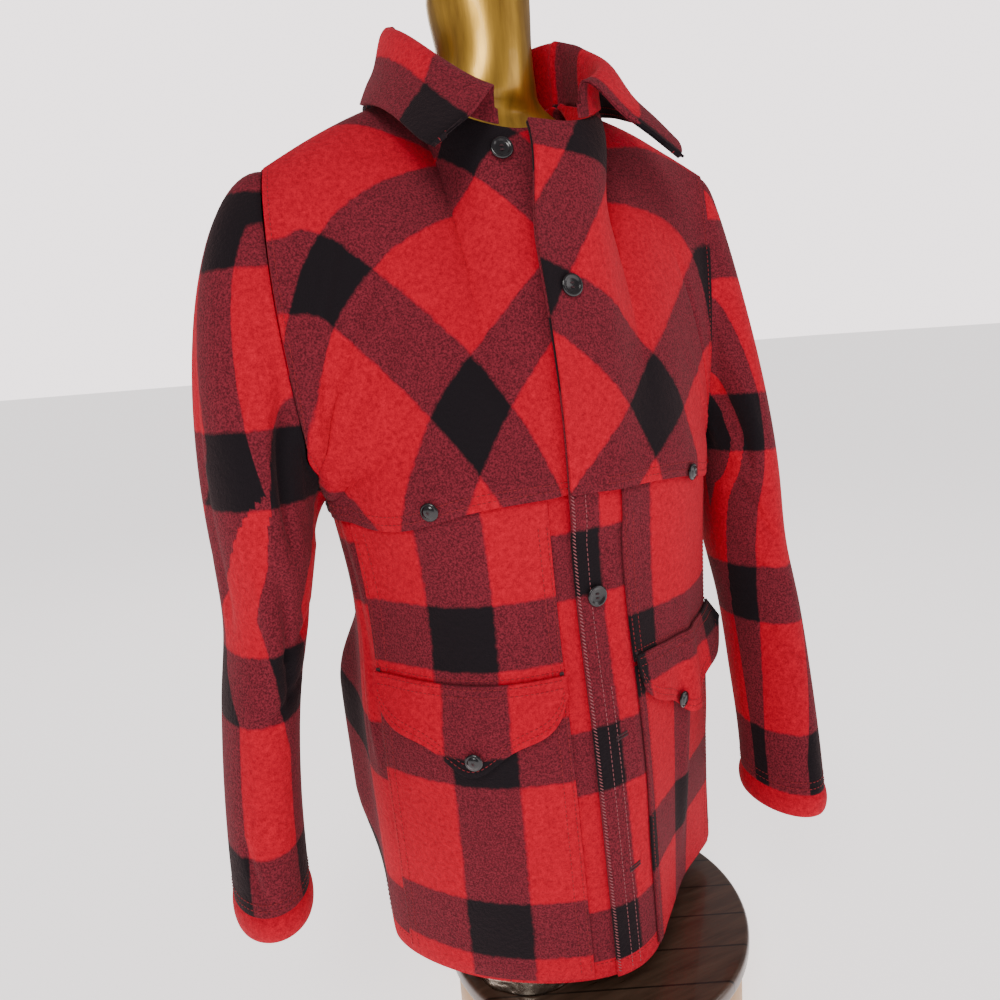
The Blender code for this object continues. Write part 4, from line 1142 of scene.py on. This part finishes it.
def make_stitching(collar_rows):
    """Topstitching, bar tacks, buttonholes and the overcast front edge."""
    fine = np.linspace(0, 1, 160)
    faces, verts = [], []
    for side in (-1, 1):
        for off in (0.006, 0.013):
            low = yoke_low(side, "front", 0.06 + 0.90 * fine) + off / (UNDERARM - HEM)
            panel_path(side, "front", 0.06 + 0.90 * fine, low, 2 * LAYER + yoke_extra(side, 0.06 + 0.90 * fine, low)
                       - AIR, faces, verts)
        low = yoke_low(side, "back", fine * 0.97) + 0.006 / (UNDERARM - HEM)
        panel_path(side, "back", fine * 0.97, low, LAYER + WALL, faces, verts)
        up = 1.02 + 0.96 * fine
        for face in ("front", "back"):
            panel_path(side, face, 0.975, up, LAYER + WALL, faces, verts)
    thread_piece("stitches_yoke", "thread_red", faces, verts)
    faces, verts = [], []
    for side, (inner, outer) in zip((-1, 1), PATCH_EDGES):
        span = outer - inner
        width = metres(side, "front", 0.99, 0.5)[0] / 0.99
        inset = EDGE_STITCH * 0.35 / width
        for off in (inset, inset + EDGE_STITCH / width):
            for low, high in ((PATCH_SPLIT + 0.004, YOKE_EDGE - 0.012), (HEM + 0.012, PATCH_SPLIT - 0.004)):
                up = level(low + (high - low) * fine)
                for a in (inner + off, outer - off):
                    panel_path(side, "front", a, up, LAYER + WALL, faces, verts)
        for height in (PATCH_SPLIT + 0.005, PATCH_SPLIT + 0.012):
            panel_path(side, "front", inner + span * fine, level(height), LAYER + WALL, faces, verts)
        share = 0.02 + 0.96 * fine
        drop = flap_drop(share)
        for off in (0.006, 0.012):
            v = 1 - off / drop
            up = level(PATCH_SPLIT + FLAP_TOP) - v * drop / (UNDERARM - HEM)
            lift = 2 * LAYER + flap_lift(side, share, v) + WALL
            panel_path(side, "front", inner + span * share, up, lift, faces, verts)
        for off in (0.003, 0.010):
            v = off / drop
            up = level(PATCH_SPLIT + FLAP_TOP) - v * drop / (UNDERARM - HEM)
            panel_path(side, "front", inner + span * share, up, 2 * LAYER + flap_lift(side, share, v) + WALL,
                       faces, verts)
    thread_piece("stitches_pockets", "thread_red", faces, verts)
    faces, verts = [], []
    for side in (-1, 1):
        for face in ("front", "back"):
            first = -0.05 if face == "front" else 0.0
            across = first + (0.98 - first) * fine
            panel_path(side, face, across, HEM_STITCH / (UNDERARM - HEM), WALL, faces, verts)
    thread_piece("stitches_hem", "thread_red", faces, verts)
    faces, verts = [], []
    edge = panel_columns("front")[0]
    up = 0.01 + 1.93 * fine
    panel_path(1, "front", edge + 0.009, up, WALL, faces, verts, lean=0.0016, step=0.0032, size=0.00055)
    panel_path(1, "front", edge + 0.062, 0.01 + 1.80 * fine, WALL, faces, verts)
    panel_path(1, "front", edge + 0.100, 0.01 + 0.60 * fine, WALL, faces, verts)
    thread_piece("stitches_front_edge", "thread_pale", faces, verts)
    faces, verts = [], []
    for side in (-1, 1):
        table = SLEEVE_RIGHT if side < 0 else SLEEVE_LEFT
        for rise in (0.006, 0.012):
            ring_points = sleeve_ring(table, table[-1][0] + rise, 160)
            ring_points = np.concatenate([ring_points, ring_points[:1]])
            out = ring_points - ring_points.mean(0)
            stitch_line(ring_points, out, faces, verts)
    thread_piece("stitches_cuffs", "thread_red", faces, verts)
    faces, verts = [], []
    normals = grid_normals(collar_rows, -1)
    for inset in (2, 5):
        row = len(collar_rows) - 1 - inset
        stitch_line(collar_rows[row] + normals[row] * WALL, normals[row], faces, verts)
    thread_piece("stitches_collar", "thread_red", faces, verts)
    make_tacks()


HEM_STITCH = 0.016


def yoke_extra(side, across, up):
    """How much further the yoke stands off over the patch tops, as in its own grid."""
    over = LAYER * smooth((1.0 + 1.0 / CAD_HIGH_ROWS - up) * CAD_HIGH_ROWS)
    return over * smooth((across - (0.09 if side < 0 else 0.02)) / 0.07) * smooth((0.995 - across) / 0.10)


def make_tacks():
    """Bar tacks at the flap ends, and the slits of the buttonholes with their close stitches."""
    faces, verts = [], []
    for side, (inner, outer) in zip((-1, 1), PATCH_EDGES):
        for across in (inner + 0.012, outer - 0.012):
            for k in range(7):
                spot = across + (k - 3) * 0.0022
                panel_path(side, "front", np.array([spot, spot]),
                           level(np.array([PATCH_SPLIT + FLAP_TOP - 0.001, PATCH_SPLIT + FLAP_TOP + 0.005])),
                           2 * LAYER - AIR + 0.0006, faces, verts, step=0.0055)
    for across, up, lift in HOLES:
        for k in range(HOLE_STITCHES):
            share = k / (HOLE_STITCHES - 1)
            spot = across + HOLE_REACH * share
            for way in (-1, 1):
                heights = up + way * np.array([0.0011, 0.0052]) + HOLE_SLANT * share
                panel_path(1, "front", np.array([spot, spot]), heights, lift, faces, verts, step=0.0019,
                           size=0.00048)
    thread_piece("tacks_and_buttonholes", "thread_dark", faces, verts)


HOLE_REACH = 0.052
HOLE_STITCHES = 17
HOLE_SLANT = 0.004
HOLES = ((0.018, 1.560, LAYER + WALL), (0.010, 1.070, LAYER + WALL + 0.0002), (0.010, 0.505, WALL),
         (0.010, 0.225, WALL))

FLAT_BUTTON = ((0.0, 0.0020), (0.0052, 0.0020), (0.0062, 0.0023), (0.0072, 0.0031), (0.0082, 0.0034),
               (0.0091, 0.0031), (0.0097, 0.0024), (0.0097, 0.0017), (0.0091, 0.0009), (0.0080, 0.0003),
               (0.0, 0.0))
DOME_BUTTON = ((0.0, 0.0046), (0.0022, 0.0045), (0.0040, 0.0041), (0.0054, 0.0034), (0.0060, 0.0028),
               (0.0066, 0.0028), (0.0074, 0.0025), (0.0080, 0.0016), (0.0077, 0.0007), (0.0066, 0.0),
               (0.0, 0.0))


def lathe(name, profile, steps, material):
    """A turned piece from its profile of radius and height."""
    rows = []
    angle = np.linspace(0, 2 * math.pi, steps, endpoint=False)
    for radius, height in profile:
        radius = max(radius, 1e-5)
        rows.append(np.stack([radius * np.cos(angle), radius * np.sin(angle), height + 0 * angle], -1))
    mesh = grid_mesh(name, np.array(rows), None, wrap=True, outward=-1)
    closed = bmesh.new()
    closed.from_mesh(mesh)
    bmesh.ops.holes_fill(closed, edges=[edge for edge in closed.edges if edge.is_boundary])
    bmesh.ops.recalc_face_normals(closed, faces=closed.faces)
    closed.to_mesh(mesh)
    closed.free()
    mesh.shade_smooth()
    thing = add_object(name, mesh, MATERIALS[material])
    split = thing.modifiers.new("creases", "EDGE_SPLIT")
    split.split_angle = math.radians(50)
    return thing


def make_buttons():
    """Four-hole buttons down the front and domed ones on the yoke and flaps."""
    on_yoke = LAYER + WALL + BUTTON_GAP
    yoke_height = level(YOKE_EDGE + YOKE_FRONT_LIFT)
    places = [
        ("button_neck", FLAT_BUTTON, -1, 0.050, up_at(-1, 0.050, NECK_BUTTON), on_yoke + BUTTON_GAP),
        ("button_front_2", FLAT_BUTTON, 1, 0.0, up_at(1, 0.0, SECOND_BUTTON), on_yoke),
        ("button_front_4", FLAT_BUTTON, 1, 0.0, level(SECOND_BUTTON - 2 * BUTTON_SPACING), WALL + BUTTON_GAP),
        ("button_yoke_right", DOME_BUTTON, -1, 0.565, yoke_height, on_yoke + LAYER),
        ("button_yoke_left", DOME_BUTTON, 1, 0.480, yoke_height, on_yoke + LAYER),
        ("button_flap_right", DOME_BUTTON, -1, 0.500, level(PATCH_SPLIT - FLAP_BUTTON_DROP_RIGHT),
         on_yoke + LAYER + 0.0052),
        ("button_flap_left", DOME_BUTTON, 1, 0.365, level(PATCH_SPLIT - FLAP_BUTTON_DROP_LEFT),
         on_yoke + LAYER + 0.0048),
    ]
    for name, profile, side, across, up, lift in places:
        spot = button_place(side, across, up, lift)
        thing = lathe("trim_" + name, profile, 48, "button_black")
        thing.matrix_world = spot
        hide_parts(name)
        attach(thing, "root")
        faces, verts = [], []
        if profile is FLAT_BUTTON:
            for x, y in ((1, 1), (-1, -1)):
                first = np.array([0.0019 * x, 0.0019 * y, 0.0020])
                second = np.array([-0.0019 * x, 0.0019 * y, 0.0020])
                for shift in (-0.0004, 0.0004):
                    line = np.linspace(first, second, 5) + (0, shift, 0)
                    line[:, 2] += 0.0006 * np.sin(np.linspace(0, math.pi, 5))
                    tube(line, 0.0004, 6, faces, verts)
        else:
            for k in range(3):
                angle = k * math.pi / 3
                line = np.linspace(-1, 1, 5)[:, None] * np.array([math.cos(angle), math.sin(angle), 0]) * 0.0022
                line[:, 2] = 0.0045 + 0.0003 * np.sin(np.linspace(0, math.pi, 5))
                tube(line, 0.0003, 6, faces, verts)
        mesh = bpy.data.meshes.new("thread_" + name)
        mesh.from_pydata([tuple(v) for v in verts], [], faces)
        mesh.shade_smooth()
        thread = add_object("thread_" + name, mesh, MATERIALS["thread_dark"])
        thread.matrix_world = spot
        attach(thread, "root")


def make_form():
    """The dress form, its thigh stubs and the foil round their feet."""
    table = np.array(FORM)
    heights = np.linspace(table[0, 0], table[-1, 0], 150)
    angle = np.linspace(0, 2 * math.pi, 96, endpoint=False)
    x, y, width, depth = columns(FORM, heights)
    rows = [np.stack([x[k] + width[k] * np.sin(angle), y[k] - depth[k] * np.cos(angle), heights[k] + 0 * angle], -1)
            for k in range(len(heights))]
    middle = rows[-1].mean(0)
    for share, rise in ((0.97, 0.004), (0.9, 0.0068), (NECK_CAP_SHARE, NECK_CAP_RISE)):
        rows.append(middle + (rows[len(heights) - 1] - middle) * share + (0, 0, rise))
    mesh = grid_mesh("form", np.array(rows), None, wrap=True)
    closed = bmesh.new()
    closed.from_mesh(mesh)
    bmesh.ops.holes_fill(closed, edges=[edge for edge in closed.edges if edge.is_boundary])
    bmesh.ops.recalc_face_normals(closed, faces=closed.faces)
    closed.to_mesh(mesh)
    closed.free()
    mesh.shade_smooth()
    thing = add_object("form_torso", mesh, MATERIALS["gold"])
    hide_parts("dress_form")
    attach(thing, "root")
    foot, top = STAND_TOP + SEAM, FORM_FLOOR - SEAM
    heights = np.linspace(0, 1, 12)
    for side, word, y in ((-1, "right", THIGH_Y_RIGHT), (1, "left", THIGH_Y_LEFT)):
        radius = THIGH_RADIUS
        profile = [(0.0, top), (radius * 0.90, top), (radius * 0.96, top - 0.002), (radius * 0.985, top - 0.008)]
        profile += [(radius * (1 - 0.03 * t), (top - 0.02) * (1 - t) + foot * t) for t in heights]
        profile.append((0.0, foot))
        stub = lathe("form_thigh_" + word, profile, 96, "gold")
        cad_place(stub, (THIGH_X + side * THIGH_SPACING, y, 0.0), "thigh_" + word)
        wrap = foil_wrap(word, foot)
        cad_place(wrap, (THIGH_X + side * THIGH_SPACING, y, 0.0), "foil_" + word)


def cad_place(thing, where, node):
    """Put a piece in its place and let it stand for its node."""
    thing.location = where
    bpy.context.view_layer.update()
    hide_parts(node)
    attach(thing, "root")


def foil_wrap(word, foot):
    """Crumpled foil round the foot of a thigh stub, folded over itself in uneven pleats."""
    chance = np.random.default_rng(7 if word == "right" else 8)
    angle = np.linspace(0, 2 * math.pi, 180, endpoint=False)
    rows = []
    pleats = sum(chance.uniform(0.2, 1.0) * np.sin(angle * k + chance.uniform(0, 6.3)) for k in range(5, 19, 2))
    pleats = pleats / np.abs(pleats).max()
    for t in np.linspace(0, 1, 14):
        creases = sum(chance.uniform(0.2, 1.0) * np.sin(angle * k + chance.uniform(0, 6.3)) for k in (9, 16, 27))
        radius = THIGH_RADIUS + SEAM + 0.0008 + 0.0022 * (0.5 + 0.5 * pleats) * (1 - 0.4 * t) + 0.0003 * creases
        height = foot + (FOIL_HEIGHT + 0.002 * pleats) * t
        rows.append(np.stack([radius * np.cos(angle), radius * np.sin(angle), height + 0 * angle], -1))
    mesh = grid_mesh("foil", np.array(rows), None, wrap=True)
    thing = add_object("foil_wrap_" + word, mesh, MATERIALS["foil"])
    solidify = thing.modifiers.new("wall", "SOLIDIFY")
    solidify.thickness = 0.0005
    solidify.offset = 1.0
    return thing


def make_stand():
    """The drum and its plank top with rounded edges."""
    low = STAND_TOP - TOP_THICKNESS
    edge = 0.005
    turns = np.linspace(0, math.pi / 2, 6)
    top = [(0.0, STAND_TOP)]
    top += [(TOP_RADIUS - edge + edge * math.sin(t), STAND_TOP - edge + edge * math.cos(t)) for t in turns]
    top += [(TOP_RADIUS - edge + edge * math.cos(t), low + edge - edge * math.sin(t)) for t in turns]
    top.append((0.0, low))
    drum = [(0.0, DRUM_HEIGHT), (DRUM_RADIUS - 0.001, DRUM_HEIGHT), (DRUM_RADIUS, DRUM_HEIGHT - 0.001),
            (DRUM_RADIUS, 0.001), (DRUM_RADIUS - 0.001, 0.0), (0.0, 0.0)]
    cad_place(lathe("stand_plank_top", top, 160, "planks"), (STAND_X, STAND_Y, 0.0), "stand_top")
    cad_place(lathe("stand_side", drum, 160, "tan_wood"), (STAND_X, STAND_Y, 0.0), "stand_drum")


# camera: place, right and up directions, lens for a 36 mm wide sensor
CAMERA_PLACE = (-0.30278, -0.68332, 0.7145)
CAMERA_FORWARD = (0.36391, 0.91160, -0.19120)
CAMERA_UP = (0.14146, 0.14881, 0.97870)
LENS = 27.29


def make_stage():
    """Floor, camera, lights and the surrounding light."""
    mesh = bpy.data.meshes.new("floor")
    reach = 60.0
    mesh.from_pydata([(-reach, -reach, -0.0005), (reach, -reach, -0.0005), (reach, reach, -0.0005),
                      (-reach, reach, -0.0005)], [], [(0, 1, 2, 3)])
    floor, tree, shader, _ = blank("floor")
    shader.inputs["Base Color"].default_value = (0.95, 0.90, 0.90, 1.0)
    shader.inputs["Emission Color"].default_value = (1.0, 0.96, 0.96, 1.0)
    shader.inputs["Emission Strength"].default_value = 1.3
    shader.inputs["Roughness"].default_value = 0.9
    add_object("floor", mesh, floor)
    lens = bpy.data.cameras.new("camera")
    lens.lens = LENS
    lens.sensor_width = 36.0
    camera = bpy.data.objects.new("camera", lens)
    bpy.context.scene.collection.objects.link(camera)
    forward = Vector(CAMERA_FORWARD).normalized()
    up = Vector(CAMERA_UP).normalized()
    right = forward.cross(up).normalized()
    turn = Matrix((right, right.cross(forward), -forward)).transposed().to_4x4()
    camera.matrix_world = Matrix.Translation(Vector(CAMERA_PLACE)) @ turn
    bpy.context.scene.camera = camera
    for name, place, aim, size, power, colour in LIGHTS:
        lamp = bpy.data.lights.new(name, "AREA")
        lamp.size = size
        lamp.energy = power
        lamp.color = colour
        thing = bpy.data.objects.new(name, lamp)
        bpy.context.scene.collection.objects.link(thing)
        thing.location = place
        thing.rotation_euler = (Vector(aim) - Vector(place)).to_track_quat("-Z", "Y").to_euler()
    world = bpy.data.worlds.new("surround")
    bpy.context.scene.world = world
    world.use_nodes = True
    tree = world.node_tree
    back = tree.nodes["Background"]
    back.inputs["Color"].default_value = (0.95, 0.86, 0.87, 1.0)
    seen = tree.nodes.new("ShaderNodeLightPath").outputs["Is Camera Ray"]
    tree.links.new(maths(tree, "MULTIPLY_ADD", seen, 2.6, 0.40), back.inputs["Strength"])


LIGHTS = (
    ("key", (-1.2, -1.6, 2.1), (0, 0, 0.6), 0.9, 34.0, (1.0, 0.97, 0.94)),
    ("fill", (1.8, -1.6, 1.2), (0, 0, 0.5), 1.2, 11.0, (1.0, 0.95, 0.95)),
    ("back", (0.3, 1.8, 1.9), (0, 0, 0.6), 1.2, 14.0, (1.0, 0.97, 0.95)),
)


make_materials()
make_body()
make_yoke()
make_sleeves()
stitched_collar = make_collar()
make_pockets()
make_stitching(stitched_collar)
make_buttons()
make_form()
make_stand()
make_stage()
